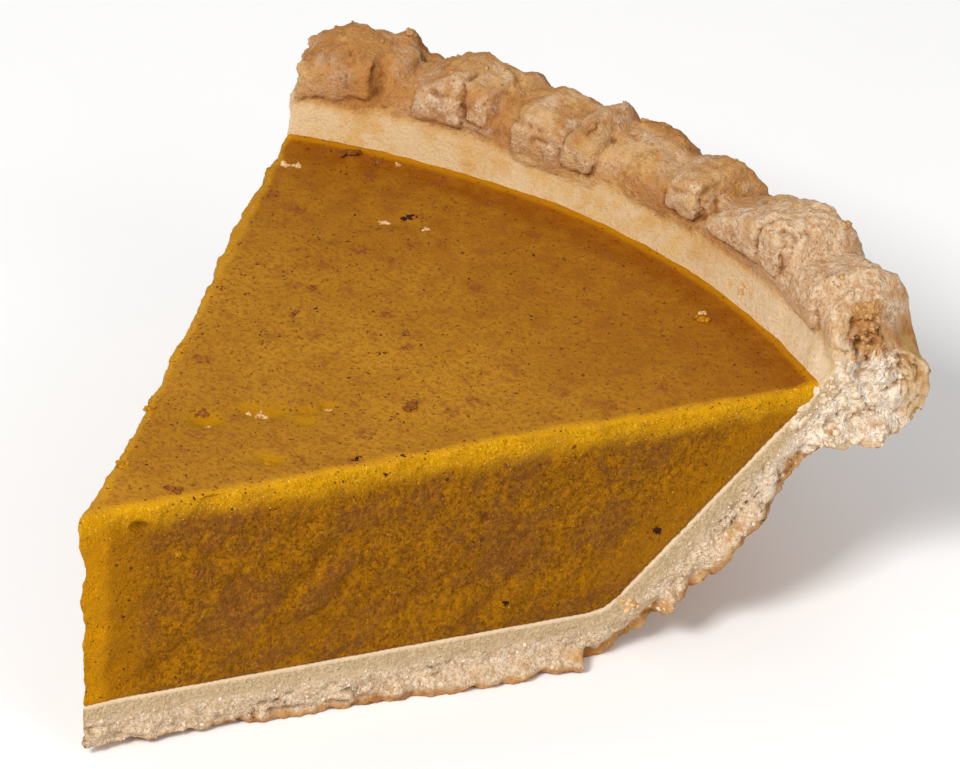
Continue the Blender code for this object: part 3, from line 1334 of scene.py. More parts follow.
    def roughen(self, skin: Skin) -> None:
        """Give the smooth form its lumps, layers and crumbs.

        Args:
            skin: The surface to work on.
        """
        height = skin.height()
        inner = skin.off_bed()
        cut = skin.on_cuts()
        rim = ramp(height, 41.0, 45.0) * (1.0 - cut)
        held = ramp(inner, 1.2, 0.3) * ramp(height, 38.5, 37.0)
        outside = (1.0 - cut) * (1.0 - held)
        flat = ramp(height, 2.0, 0.6)
        spots = skin.points
        fine = Grain(1.5, 9.3).soft(spots)
        along = np.radians(skin.angle()) * 110.0 * MM
        layers = np.stack([along / 5.0, skin.radius(), height], axis=1)
        uprights = np.stack([along, 0.15 * skin.radius(), height / 5.0], axis=1)
        move = outside * (1.0 - 0.7 * flat) * 0.28 * MM * Grain(7.5, 3.1).soft(spots)
        move += outside * 0.11 * MM * Grain(2.6, 5.7).soft(spots)
        move += outside * 0.06 * MM * fine
        move += rim * 0.16 * MM * Grain(4.4, 1.9).soft(spots)
        crest = rim * ramp(skin.radius(), 109.0, 112.0)
        move += crest * 0.13 * MM * Grain(1.9, 6.1).rough(layers, 2)
        move += (rim - crest) * 0.10 * MM * Grain(1.7, 2.9).rough(uprights, 2)
        move += rim * 0.12 * MM * Grain(1.0, 15.3).soft(spots)
        ridge = (1.0 - cut) * ramp(height, 48.0, 50.5)
        move += ridge * 0.30 * MM * Grain(1.7, 16.6).rough(spots, 3)
        broken = soft_step(Grain(6.5, 2.2).soft(spots), 0.05, 0.3)
        move += rim * (0.3 + broken) * 0.34 * MM * Grain(1.6, 9.9).rough(spots, 3)
        torn = soft_step(Grain(6.0, 2.2).soft(spots), 0.0, 0.3)
        move -= rim * 0.4 * MM * Grain(5.2, 7.7).seams(spots) * torn
        deep = cut * ramp(inner, 1.8, 3.6)
        crumbly = Grain(2.4, 4.4).rough(spots, 4)
        move += deep * 0.34 * MM * crumbly
        move += deep * 0.14 * MM * (soft_step(crumbly, -0.05, 0.25) - 0.6)
        move += cut * (0.10 * fine - 0.06) * MM
        clumps = deep * ramp(skin.radius(), 80.0, 98.0)
        move -= clumps * 0.42 * MM * Grain(2.3, 3.3).seams(spots + 0.5 * MM * fine[:, None])
        skin.push(move)

    def crack_cut_faces(self, skin: Skin) -> None:
        """Open the thin cracks that follow the layers of the cut pastry.

        Args:
            skin: The surface to work on.
        """
        inner = skin.off_bed()
        layers = np.stack([skin.radius() / 4.5, inner, skin.points[:, 0] * 0.05], axis=1)
        bent = layers + 0.5 * MM * Grain(2.0, 5.5).soft(skin.points)[:, None]
        lines = Grain(1.5, 12.4).seams(bent)
        parts = soft_step(Grain(9.0, 8.8).soft(skin.points), -0.02, 0.2)
        for cut in Cut:
            face = skin.on_cut(cut) * ramp(inner, 3.2, 4.6)
            skin.push(0.8 * MM * face * lines * parts, self.shape.inwards(cut))

    def chip_edges(self, skin: Skin) -> None:
        """Wear the outline of the cuts ragged, as broken pastry is.

        Args:
            skin: The surface to work on.
        """
        near = skin.depth_in_slice()
        inner = skin.off_bed()
        edge = ramp(near, 2.6, 0.4) * ramp(inner, 4.0, 6.5)
        chips = Grain(3.2, 21.3).soft(skin.points)
        chips += 0.7 * Grain(1.4, 2.7).soft(skin.points)
        skin.push(edge * 0.75 * MM * (chips - 0.1))
        end = ramp(skin.depth_in(Cut.LEFT), 5.0, 0.5)
        end *= ramp(skin.height(), 42.4, 44.0)
        end *= ramp(skin.height(), 50.0, 46.5)
        skin.push(end * 0.9 * MM, self.shape.inwards(Cut.LEFT))
        outer = skin.off_line(self.shape.outside_line())
        reach = ramp(outer, 3.6, 1.2) * ramp(skin.depth_in(Cut.RIGHT), 4.2, 1.2)
        proud = np.interp(skin.radius() / MM, *zip(*self.lip)) * MM
        skin.push(-reach * proud, self.shape.inwards(Cut.RIGHT))

    def shape_rim_end(self, skin: Skin) -> None:
        """Break the rim's right-hand end: a torn hollow and a rounded outer lip.

        Args:
            skin: The surface to work on.
        """
        radius, height = skin.radius() / MM, skin.height() / MM
        inwards = self.shape.inwards(Cut.RIGHT)
        near = ramp(skin.depth_in(Cut.RIGHT), 2.5, 0.8)
        torn = Grain(2.0, 31.0).rough(skin.points, 3)
        across = (radius - self.hollow_radius - 0.18 * (height - 45.0) + 2.4 * torn) / 2.6
        inside = np.exp(-(across ** 2 + ((height - 45.2 + 2.0 * torn) / 4.4) ** 2) ** 1.5)
        crumbly = Grain(1.3, 8.8).rough(skin.points, 2)
        skin.push(inside * near * (1.4 + 1.6 * torn + 1.9 * crumbly) * MM, inwards)
        lip = soft_step(radius, 116.8, 121.8) * soft_step(height, 29.0, 34.0)
        reach = ramp(skin.depth_in(Cut.RIGHT), 6.0, 0.5)
        skin.push(lip * reach * 0.5 * MM, inwards)
        reach = ramp(skin.depth_in(Cut.RIGHT), 8.0, 0.5)
        worn = soft_step(height, 37.0, 44.0) * soft_step(radius, 113.5, 118.0)
        skin.push(-worn * reach * 3.6 * MM, self.outward(skin))

    def wear_tip(self, skin: Skin) -> None:
        """Bring the point of the crust out to the centre line, and thin it from below.

        Args:
            skin: The surface to work on.
        """
        near = ramp(skin.radius(), 6.0, 0.5)
        skin.push(near * 1.1 * MM, TOWARDS_TIP)
        low = ramp(skin.height(), 7.0, 0.0) * ramp(skin.radius(), 34.0, 0.0)
        skin.push(low * 1.3 * MM, UPWARDS)

    def note_finish(self, skin: Skin) -> None:
        """Write down where the crust is cut, browned, floury and soaked, and where its hollows and
        creases get painted shade.

        Args:
            skin: The surface to work on.
        """
        radius, height = skin.radius(), skin.height()
        inner = skin.off_bed()
        outer = skin.off_line(self.shape.outside_line())
        cut = skin.on_cuts()
        relief, fine = skin.relief(14), skin.relief(3)
        proud, creased = self.creases(skin)
        crest = ramp(height, 41.2, 47.0)
        back = ramp(radius - 0.35 * (height - 44.0 * MM), 111.5, 118.0)
        bake = 0.14 + 0.38 * crest + 0.36 * back * crest
        bake += 0.16 * ramp(-relief, 0.0, 0.6) * crest
        toast = ramp(relief, 0.15, 0.8)
        toast *= ramp(height + 0.25 * (radius - 114.0 * MM), 47.5, 50.5)
        toast *= 0.4 + 0.6 * soft_step(Grain(4.0, 23.0).rough(skin.points, 3), -0.2, 0.2)
        bake += 0.46 * toast
        outside = ramp(inner, 4.0, 7.0)
        bake = np.maximum(np.where(height < 40.5 * MM, 0.12, bake), 0.12 + 0.50 * outside)
        pressed = np.clip(sum(crimp.press(skin.angle()) for crimp in self.shape.crimps), 0, 1)
        scoop = (1.0 - pressed) * crest * ramp(radius, 115.0, 112.0)
        bake -= 0.06 * scoop
        right = ramp(skin.depth_in(Cut.RIGHT), 5.0, 3.0)
        torn = np.exp(-(((radius / MM - self.hollow_radius) / 3.0) ** 2
                        + ((height / MM - 45.6) / 4.6) ** 2) ** 1.5) * right
        lip = ramp(radius, 116.6, 118.4) * ramp(height, 29.5, 31.5) * right
        grown = ramp(outer + 0.5 * MM * Grain(2.0, 17.0).soft(skin.points), 1.5, 0.7)
        ragged = 1.6 * MM * Grain(2.2, 27.0).rough(skin.points, 3)
        browned = ramp(height + 2.0 * ragged, 40.5, 43.0)
        white = cut * (1.0 - 0.85 * grown) * (1.0 - 0.8 * browned) * (1.0 - 0.9 * lip)
        bake = np.maximum(bake, 0.64 * torn + 0.35 * browned * cut)
        bake = np.where(lip > 0.3, 0.36, bake)
        bake = np.maximum(bake, cut * grown * 0.52)
        skin.note("cut", white)
        skin.note("bake", bake)
        dusted = 0.15 + 0.7 * soft_step(Grain(6.0, 4.8).rough(skin.points, 3), -0.15, 0.2)
        dusted = np.maximum(dusted, ramp(proud, 0.25, 0.45))
        dusted *= 1.0 - 0.5 * soft_step(skin.angle(), 44.0, 50.0)
        whiter = soft_step(skin.angle(), 22.0, 8.0)
        dusted = np.maximum(dusted, whiter)
        flour = crest * (1.0 - (0.7 - 0.45 * whiter) * back) * dusted
        flour *= ramp(relief, -0.5, 0.0) * (1.0 + 0.7 * whiter)
        flour *= (1.0 - 0.4 * scoop * (1.0 - whiter)) * (1.0 - 0.6 * toast)
        flour = np.maximum(flour, 0.95 * whiter * ramp(height, 36.0, 38.0) * (1.0 - outside))
        end = cut * ramp(radius, 94.0, 104.0)
        skin.note("flour", np.maximum(flour, end) * (1.0 - 0.9 * torn))
        uneven = 0.5 * MM * Grain(4.0, 13.0).soft(skin.points)
        skin.note("soak", cut * ramp(inner + uneven, 3.9, 2.1))
        skin.note("seal", cut * ramp(inner + 0.2 * uneven, 0.85, 0.35))
        # Painted shade: small hollows, larger dips and the creases round the pads, by their depth.
        painted_shade = 0.5 * ramp(-fine, 0.05, 0.18)
        painted_shade += 0.35 * ramp(-relief, 0.5, 1.3)
        skin.note("hollow", np.clip(painted_shade + creased / (1.0 * MM), 0.0, 1.0))


@dataclass(frozen=True)
class Dent:
    """A small sunken or raised place on the custard.

    The angle is in degrees from the right-hand cut; the rest is in millimetres, and a
    depth below nought stands up.  The length is a share of the size.
    """

    radius: float
    angle: float
    size: float
    depth: float
    length: float = 1.0
    slant: ClassVar[float] = 40.0

    def reach(self, points: np.ndarray, shape: PieShape) -> np.ndarray:
        """Return how far points are from the dent's middle.

        Args:
            points: The points, in the pie's own measure.
            shape: The slice's sizes.

        Returns:
            The distances, as a share of the dent's size.
        """
        middle = shape.place((self.radius * MM, shape.filling_height), self.angle)
        away = points - np.array(middle)
        along, across = turned(away[:, 0], away[:, 1], self.slant)
        return np.hypot(along / self.length, across) / (self.size * MM)


@dataclass(frozen=True)
class Pit:
    """A small hole in the right-hand cut face of the custard, in millimetres."""

    radius: float
    height: float
    size: float
    depth: float


@dataclass
class Filling:
    """The set custard: a level top, two cut faces and a worn tip."""

    shape: PieShape
    finish: CustardFinish = field(default_factory=CustardFinish)
    voxel: float = 0.43 * MM
    steps: int = 96
    triangles: int = 190_000
    right_round: float = 1.7 * MM
    left_round: float = 0.6 * MM
    dents: tuple[Dent, ...] = (
        Dent(29.4, 39.2, 1.9, 1.1, 1.6),
        Dent(36.0, 30.8, 1.8, 1.5, 2.0),
        Dent(40.1, 24.5, 1.0, 1.0, 1.6),
        Dent(43.1, 22.9, 1.1, 1.0, 1.3),
        Dent(38.0, 21.6, 1.4, 0.50, 1.5),
        Dent(28.5, 13.0, 1.5, 0.80, 1.4),
        Dent(88.8, 42.5, 2.0, 0.50, 1.8),
        Dent(51.7, 14.1, 1.6, -0.55),
        Dent(102.3, 50.3, 1.6, -0.80),
        Dent(99.1, 13.0, 1.4, -0.35),
        Dent(67.8, 44.2, 1.6, 0.25),
    )
    glossy_dents: int = 6
    wrinkle_slant: float = 42.0
    stroke_slant: float = 40.0
    pits: tuple[Pit, ...] = (
        Pit(7.2, 34.9, 1.4, 1.3), Pit(56.6, 26.7, 0.9, 0.5), Pit(62.8, 22.4, 0.8, 0.4),
        Pit(46.6, 20.0, 1.0, 0.4), Pit(20.5, 24.0, 1.1, 0.4), Pit(33.0, 16.0, 0.8, 0.4),
    )

    def build(self) -> bpy.types.Object:
        """Build the custard and dress it.

        Returns:
            The finished custard.
        """
        body = sweep(self.shape, self.section, self.steps)
        self.round_edges(body)
        mesh = grow_skin("custard_filling", body, self.voxel)
        mesh = thin_out(mesh, self.hidden(Skin(mesh, self.shape)), self.triangles)
        skin = Skin(mesh, self.shape)
        skin.even(2)
        self.wrinkle_top(skin)
        self.drag_faces(skin)
        self.wear_tip(skin)
        self.note_finish(skin)
        return show("custard_filling", skin.mesh, self.finish.make(), self.shape,
                    "filling", "filling")

    def section(self, angle: float) -> list[Station]:
        """Return the custard's outline, bedded a little into the pastry.

        Args:
            angle: Where round the pie; the outline is the same all round.

        Returns:
            The stations of the outline, from the centre line underneath.
        """
        side = self.shape.holding_side(-0.2 * MM)
        side[0] = (self.shape.filling_radius + 1.2 * MM, self.shape.filling_height)
        side.reverse()
        return side + [(0.0, self.shape.filling_height)]

    def hidden(self, skin: Skin) -> np.ndarray:
        """Find where the custard lies against the pastry, out of sight.

        Args:
            skin: The surface to read.

        Returns:
            One where it is hidden and nought elsewhere.
        """
        near = skin.depth_in_slice()
        inner = skin.off_bed()
        return ((inner < 0.8 * MM) & (near > 1.8 * MM) & (skin.height() < 36.2 * MM)).astype(float)

    def round_edges(self, body: bmesh.types.BMesh) -> None:
        """Round the edges between the top and the two cut faces.

        Args:
            body: The swept body.
        """
        top = self.shape.filling_height - 0.01 * MM
        level = [edge for edge in body.edges if len(edge.link_faces) == 2
                 and all(abs(face.normal.z) > 0.9999 for face in edge.link_faces)]
        bmesh.ops.dissolve_edges(body, edges=level, use_verts=False)
        for cut, offset in ((Cut.RIGHT, self.right_round), (Cut.LEFT, self.left_round)):
            inwards = Vector(self.shape.inwards(cut))
            edges = [
                edge for edge in body.edges
                if all(vert.co.z > top and abs(vert.co.dot(inwards)) < 0.01 * MM
                       for vert in edge.verts)
            ]
            bmesh.ops.bevel(
                body, geom=edges, offset=offset, offset_type="OFFSET", segments=4,
                profile=0.5, affect="EDGES", clamp_overlap=True, material=-1,
            )

    def top_weight(self, skin: Skin) -> np.ndarray:
        """Find the custard's upper skin.

        Args:
            skin: The surface to read.

        Returns:
            One on it and nought elsewhere.
        """
        level = ramp(skin.height(), 35.8, 37.0)
        return level * soft_step(skin.normals[:, 2], 0.5, 0.9)

    def wrinkle_top(self, skin: Skin) -> None:
        """Give the upper skin its shallow waves, wrinkles, dents and raised rim.

        Args:
            skin: The surface to work on.
        """
        top = self.top_weight(skin)
        radius = skin.radius()
        move = 0.32 * MM * Grain(19, 2.5).soft(skin.points)
        move += 0.09 * MM * Grain(4.5, 6.6).soft(skin.points)
        move += 0.04 * MM * Grain(1.5, 8.2).soft(skin.points)
        along, across = turned(skin.points[:, 0], skin.points[:, 1], self.wrinkle_slant)
        drawn = np.stack([along / 4.0, across, 0.0 * along], axis=1)
        move += 0.07 * MM * Grain(1.3, 14.2).rough(drawn, 2)
        move += 0.5 * MM * ramp(radius, 101.5, 105.0)
        for dent in self.dents:
            reach = dent.reach(skin.points, self.shape)
            move -= dent.depth * MM * np.exp(-(reach ** 2) * 1.6)
        skin.push(top * move, UPWARDS)

    def strokes(self, skin: Skin, length: float) -> np.ndarray:
        """Return the points in a measure that is drawn out along the knife's strokes.

        Args:
            skin: The surface to read.
            length: How far it is drawn out.

        Returns:
            The points, for a pattern to be laid on.
        """
        along, across = turned(skin.radius(), skin.height(), self.stroke_slant)
        return np.stack([along / length, across, skin.points[:, 0] * 0.1], axis=1)

    def drag_faces(self, skin: Skin) -> None:
        """Give the cut faces the grain and the slanting drags of the knife.

        Args:
            skin: The surface to work on.
        """
        radius, height = skin.radius(), skin.height()
        ridged = Grain(3.0, 3.3).soft(self.strokes(skin, 5.0))
        ridged = ridged * soft_step(Grain(12.0, 6.4).soft(skin.points), -0.2, 0.25)
        uneven = 0.34 * Grain(4.2, 1.4).soft(skin.points)
        grain = Grain(1.6, 5.2).rough(skin.points, 3)
        inner = skin.off_bed()
        calm = ramp(inner, 0.4, 2.6)
        for cut in Cut:
            move = (0.75 * ridged + uneven + 0.26 * grain) * calm * MM
            skin.push(skin.on_cut(cut) * move, -self.shape.inwards(cut))
        bulge = ramp(height, 31.0, 35.0) * (
            0.75 * np.exp(-((radius / MM - 81.0) / 12.5) ** 4)
            + 0.8 * np.exp(-((radius / MM - 6.0) / 6.0) ** 2))
        bulge *= 1.0 - ramp(skin.depth_in(Cut.LEFT), 1.0, 6.0)
        skin.push(bulge * MM, -self.shape.inwards(Cut.LEFT))
        ragged = 0.45 * Grain(0.9, 19.0).soft(skin.points)
        for pit in self.pits:
            reach = ragged + np.hypot(skin.radius() / MM - pit.radius,
                                      1.5 * (skin.height() / MM - pit.height))
            sunk = pit.depth * MM * np.exp(-(reach / pit.size) ** 4)
            skin.push(skin.on_cut(Cut.RIGHT) * sunk, self.shape.inwards(Cut.RIGHT))

    def wear_tip(self, skin: Skin) -> None:
        """Tear the edge at the tip a little, as the last soft custard does.

        Args:
            skin: The surface to work on.
        """
        near = ramp(skin.radius(), 4.6, 1.0)
        height = skin.height() / MM
        torn = 0.9 + 0.55 * Grain(3.1, 11.9).soft(skin.points)
        torn += 0.3 * Grain(1.2, 4.1).soft(skin.points)
        torn += 0.9 * np.exp(-((height - 25.3) / 1.9) ** 2)
        torn += 0.7 * np.exp(-((height - 33.6) / 2.4) ** 2)
        torn -= 0.8 * np.exp(-((height - 29.8) / 1.0) ** 2)
        torn += 0.9 * soft_step(height, 34.5, 37.0)
        skin.push(near * torn * MM, TOWARDS_TIP)

    def note_finish(self, skin: Skin) -> None:
        """Write down where the custard is cut and banded, where its thin parts get painted glow,
        and its painted shade.

        Args:
            skin: The surface to work on.
        """
        radius, height = skin.radius(), skin.height()
        top = self.top_weight(skin)
        right, left = skin.depth_in(Cut.RIGHT), skin.depth_in(Cut.LEFT)
        uneven = 0.5 + 0.5 * Grain(4.0, 3.9).soft(skin.points)
        ragged = 0.6 * MM * Grain(3.0, 7.3).soft(skin.points)
        # Painted glow: the thin upper edges of the cut faces, as light shining through them.
        upper = ramp(height + 1.3 * ragged, 33.6, 36.8)
        upper *= np.maximum(ramp(right + ragged, 2.4, 1.0),
                            0.7 * ramp(left + ragged, 1.4, 0.5))
        tip = ramp(radius + ragged, 3.6, 1.6)
        skin.note("cut", 1.0 - top)
        skin.note("edge", np.clip(upper * (0.6 + 0.6 * uneven), 0.0, 1.0))
        skin.note("tip", 0.9 * tip * (1.0 - top))
        inner = skin.off_bed()
        drags = Grain(4.4, 3.3).rough(self.strokes(skin, 2.6), 4)
        drags += 0.5 * Grain(1.5, 6.1).rough(skin.points, 2)
        skin.note("stain", 0.66 * soft_step(drags, -0.12, 0.40))
        # Painted glow, near the tip and near the pastry.
        glow = np.maximum(ramp(radius, 11.0, 3.0),
                          0.7 * ramp(inner, 9.0, 2.0) * ramp(height, 10.0, 16.0))
        skin.note("glow", 0.8 * glow * (1.0 - top))
        band = 0.55 * ramp(radius, 55.0, 100.0)
        band += 0.35 * ramp(radius, 98.0, 102.0)
        skin.note("rim_band", top * band)
        sunk = np.zeros(len(radius))
        for dent in self.dents[:self.glossy_dents]:
            reach = dent.reach(skin.points, self.shape)
            sunk = np.maximum(sunk, np.exp(-(reach ** 4) * 0.5))
        skin.note("dent", top * 0.95 * sunk)
        skin.note("rim_glow", top * ramp(radius, 103.6, 104.6) * 0.8)
        # Painted shade in the hollows of the cut faces.
        skin.note("hollow", ramp(-skin.relief(6), 0.12, 0.45) * (1.0 - top))


@dataclass(frozen=True)
class Grit:
    """How strewn lumps vary.

    A size is the least one and some of the spread, in millimetres; the higher the power,
    the more lumps are small.  The flatness, the sink and the longest are shares of it.
    """

    least: float
    spread: float
    power: int
    flatness: float
    sink: float
    longest: float
    facets: int = 1


class Scatter:
    """Strews many small lumps of one kind over finished surfaces."""

    def __init__(self, name: str, seed: int) -> None:
        """Start an empty heap with its own run of random draws.

        Args:
            name: The piece's name.
            seed: Where its random draws start.
        """
        self.name = name
        self.draw = random.Random(seed)
        self.heap = bmesh.new()

    def lump(
        self, spot: Vector, normal: Vector, size: float, flatness: float = 0.7,
        sink: float = 0.3, facets: int = 1, length: float = 1.0,
    ) -> None:
        """Add one lump, half bedded in the surface it lies on.

        Args:
            spot: Where it lies.
            normal: The surface's outward direction there.
            size: Its width.
            flatness: Its thickness as a share of its width.
            sink: How much of its thickness is below the surface.
            facets: How finely it is made, from 1 for a grain to 3 for a crumb.
            length: Its length as a share of its width.
        """
        made = bmesh.ops.create_icosphere(self.heap, subdivisions=facets, radius=0.5)["verts"]
        offset = Vector((self.draw.uniform(0.0, 90.0), 0.0, 0.0))
        for vert in made:
            if facets < 3:
                vert.co *= self.draw.uniform(0.74, 1.22)
            else:
                vert.co *= 1.0 + 0.5 * noise.fractal(vert.co * 3.2 + offset, 0.7, 2.0, 3)
        turn = normal.to_track_quat("Z", "Y").to_matrix().to_4x4()
        spin = Matrix.Rotation(self.draw.uniform(0.0, math.tau), 4, "Z")
        lean = Matrix.Rotation(self.draw.uniform(-0.3, 0.3), 4, "X")
        scale = Matrix.Diagonal((size * length, size, size * flatness, 1.0))
        lift = normal * size * flatness * (0.5 - sink)
        matrix = Matrix.Translation(spot + lift) @ turn @ spin @ lean @ scale
        bmesh.ops.transform(self.heap, matrix=matrix, verts=made)

    def strew(self, count: int, grit: Grit, look: Callable[[], Hit | None]) -> None:
        """Add lumps wherever there is something for them to lie on.

        Args:
            count: How many places to look at.
            grit: How the lumps vary.
            look: Draws a place and finds the surface there.
        """
        for _ in range(count):
            found = look()
            if found:
                size = grit.least * MM + grit.spread * MM * self.draw.random() ** grit.power
                self.lump(*found, size, grit.flatness, grit.sink, grit.facets,
                          self.draw.uniform(1.0, grit.longest))

    def clump(self, spot: Vector, normal: Vector, morsel: Morsel) -> None:
        """Add one morsel as a few lumps pressed together.

        Args:
            spot: Where it lies.
            normal: The surface's outward direction there.
            morsel: Its size and shape.
        """
        turn = Matrix.Rotation(self.draw.uniform(0.0, math.tau), 3, normal)
        along = turn @ normal.orthogonal().normalized()
        across = normal.cross(along)
        size = morsel.size * MM
        self.lump(spot, normal, 0.62 * size, morsel.flatness, 0.5, 3, morsel.length)
        for _ in range(3 + round(4.0 * morsel.length)):
            aside = across * self.draw.uniform(-0.42, 0.42) * size
            ahead = along * self.draw.uniform(-0.5, 0.5) * size * morsel.length
            self.lump(spot + aside + ahead, normal, size * self.draw.uniform(0.25, 0.55),
                      morsel.flatness, 0.45, 2, self.draw.uniform(1.0, 1.6))

    def show(self, finish: PlainFoodFinish, shape: PieShape, slot: str) -> bpy.types.Object:
        """Make the heap one finished piece.

        Args:
            finish: Its finish.
            shape: The slice's sizes.
            slot: The record's material slot.

        Returns:
            The piece.
        """
        mesh = bpy.data.meshes.new(self.name)
        bmesh.ops.recalc_face_normals(self.heap, faces=self.heap.faces[:])
        self.heap.to_mesh(mesh)
        self.heap.free()
        return show(self.name, mesh, finish.make(), shape, slot)


class Ground:
    """Finds points on finished pieces, in the pie's own measure.

    How far off it looks from, and how far it looks, are in millimetres.
    """

    look_down_from: ClassVar[float] = 200.0
    stand_off: ClassVar[float] = 20.0
    furthest: ClassVar[float] = 26.0

    def __init__(self, shape: PieShape, *pieces: bpy.types.Object) -> None:
        """Hold the surfaces of the pieces.

        Args:
            shape: The slice's sizes.
            pieces: The pieces.
        """
        self.shape = shape
        joined = bmesh.new()
        for piece in pieces:
            joined.from_mesh(piece.data)
        bmesh.ops.transform(joined, matrix=Matrix.Translation(-shape.tip()), verts=joined.verts[:])
        self.tree = BVHTree.FromBMesh(joined)
        joined.free()

    def from_above(self, radius: float, angle: float) -> Hit | None:
        """Look down on the pieces.

        Args:
            radius: How far from the pie's centre line, in metres.
            angle: In degrees from the right-hand cut.

        Returns:
            The spot and its normal, or nothing.
        """
        start = self.shape.place((radius, self.look_down_from * MM), angle)
        spot, normal, _, _ = self.tree.ray_cast(start, Vector((0.0, 0.0, -1.0)))
        return (spot, normal) if spot else None

    def from_side(self, cut: Cut, radius: float, height: float) -> Hit | None:
        """Look at a cut face from outside.

        Args:
            cut: The cut face.
            radius: How far from the pie's centre line, in metres.
            height: How high above the plate, in metres.

        Returns:
            The spot and its normal, or nothing.
        """
        angle = 0.0 if cut is Cut.RIGHT else self.shape.slice_angle
        inwards = Vector(self.shape.inwards(cut))
        start = self.shape.place((radius, height), angle) - inwards * self.stand_off * MM
        spot, normal, _, distance = self.tree.ray_cast(start, inwards)
        return (spot, normal) if spot and distance < self.furthest * MM else None


@dataclass(frozen=True)
class Lamp:
    """A soft square light: where it stands and its side, in metres, and its watts."""

    name: str
    place: tuple[float, float, float]
    size: float
    power: float
    colour: tuple[float, float, float] = (1.0, 1.0, 1.0)


@dataclass
class Studio:
    """The pale floor, the soft lights and the camera.

    The camera's angles are in degrees, its distance is in metres and its lens in
    millimetres.
    """

    target: tuple[float, float, float] = (-6.2 * MM, 25.4 * MM, 18.0 * MM)
    azimuth: float = 40.4
    elevation: float = 31.3
    roll: float = 1.8
    distance: float = 1.3
    lens: float = 347.0
    furthest_seen: float = 20.0
    ambient: float = 0.46
    floor_half: float = 6.0
    floor_tones: tuple[Colour, Colour] = ((0.92, 0.92, 0.92, 1.0), (0.95, 0.95, 0.95, 1.0))
    lamps: tuple[Lamp, ...] = (
        Lamp("key", (0.12, -0.90, 0.88), 0.35, 12.8, (1.0, 0.99, 0.975)),
        Lamp("fill", (0.95, -0.10, 0.55), 0.7, 2.6),
        Lamp("back", (-0.55, 0.65, 0.75), 0.5, 1.2),
    )
    lamp_target: tuple[float, float, float] = (0.0, 0.0, 0.02)

    def build(self) -> None:
        """Set up everything around the slice."""
        self.add_floor()
        self.add_camera()
        for lamp in self.lamps:
            self.add_lamp(lamp)
        world = bpy.data.worlds.new("studio")
        world.use_nodes = True
        sky = world.node_tree.nodes["Background"]
        sky.inputs["Color"].default_value = (1.0, 1.0, 1.0, 1.0)
        sky.inputs["Strength"].default_value = self.ambient
        bpy.context.scene.world = world
        bpy.context.scene.view_settings.view_transform = "Standard"
        bpy.context.scene.view_settings.look = "None"

    def add_floor(self) -> None:
        """Add the pale floor that the slice stands on."""
        floor = bmesh.new()
        bmesh.ops.create_grid(floor, x_segments=1, y_segments=1, size=self.floor_half)
        mesh = bpy.data.meshes.new("floor")
        floor.to_mesh(mesh)
        floor.free()
        bench = Bench("pale_floor")
        grain = bench.speckle(40, 3.0, 0.6)
        mesh.materials.append(bench.finish(bench.blend(grain, *self.floor_tones), 0.9, 0.1))
        piece = bpy.data.objects.new("floor", mesh)
        bpy.context.scene.collection.objects.link(piece)

    def add_camera(self) -> None:
        """Add the camera, at the angle that the slice is known by."""
        turn, tilt, roll = map(math.radians, (self.azimuth, self.elevation, self.roll))
        right = Vector((math.cos(turn), math.sin(turn), 0.0))
        back = Vector((math.sin(turn) * math.cos(tilt), -math.cos(turn) * math.cos(tilt),
                       math.sin(tilt)))
        up = back.cross(right)
        data = bpy.data.cameras.new("camera")
        data.lens = self.lens
        data.clip_end = self.furthest_seen
        camera = bpy.data.objects.new("camera", data)
        bpy.context.scene.collection.objects.link(camera)
        level = right * math.cos(roll) + up * math.sin(roll)
        upright = up * math.cos(roll) - right * math.sin(roll)
        aim = Matrix((level, upright, back)).transposed().to_4x4()
        place = Vector(self.target) + back * self.distance
        camera.matrix_world = Matrix.Translation(place) @ aim
        bpy.context.scene.camera = camera

    def add_lamp(self, lamp: Lamp) -> None:
        """Add a light that looks at the slice.

        Args:
            lamp: Its place, size and power.
        """
        data = bpy.data.lights.new(lamp.name, "AREA")
        data.size = lamp.size
        data.energy = lamp.power
        data.color = lamp.colour
        light = bpy.data.objects.new(lamp.name, data)
        bpy.context.scene.collection.objects.link(light)
        light.location = lamp.place
        away = Vector(lamp.place) - Vector(self.lamp_target)
        light.rotation_euler = away.to_track_quat("Z", "Y").to_euler()


class Bit(Enum):
    """The kinds of small loose bits on the slice."""

    PASTRY = "pastry_crumbs"
    BROWN = "brown_crumbs"
    SPICE = "large_spice_flecks"
    CUSTARD = "custard_bits"


@dataclass(frozen=True)
class Morsel:
    """One bit that can be told apart by eye.

    On the top its place is an angle, in degrees from the right-hand cut; on a cut face
    it is a height.  Its radius, height and size are in millimetres, and its length and
    thickness are shares of its size.
    """

    kind: Bit
    radius: float
    place: float
    size: float
    length: float = 1.0
    cut: Cut | None = None
    flatness: float = 0.7


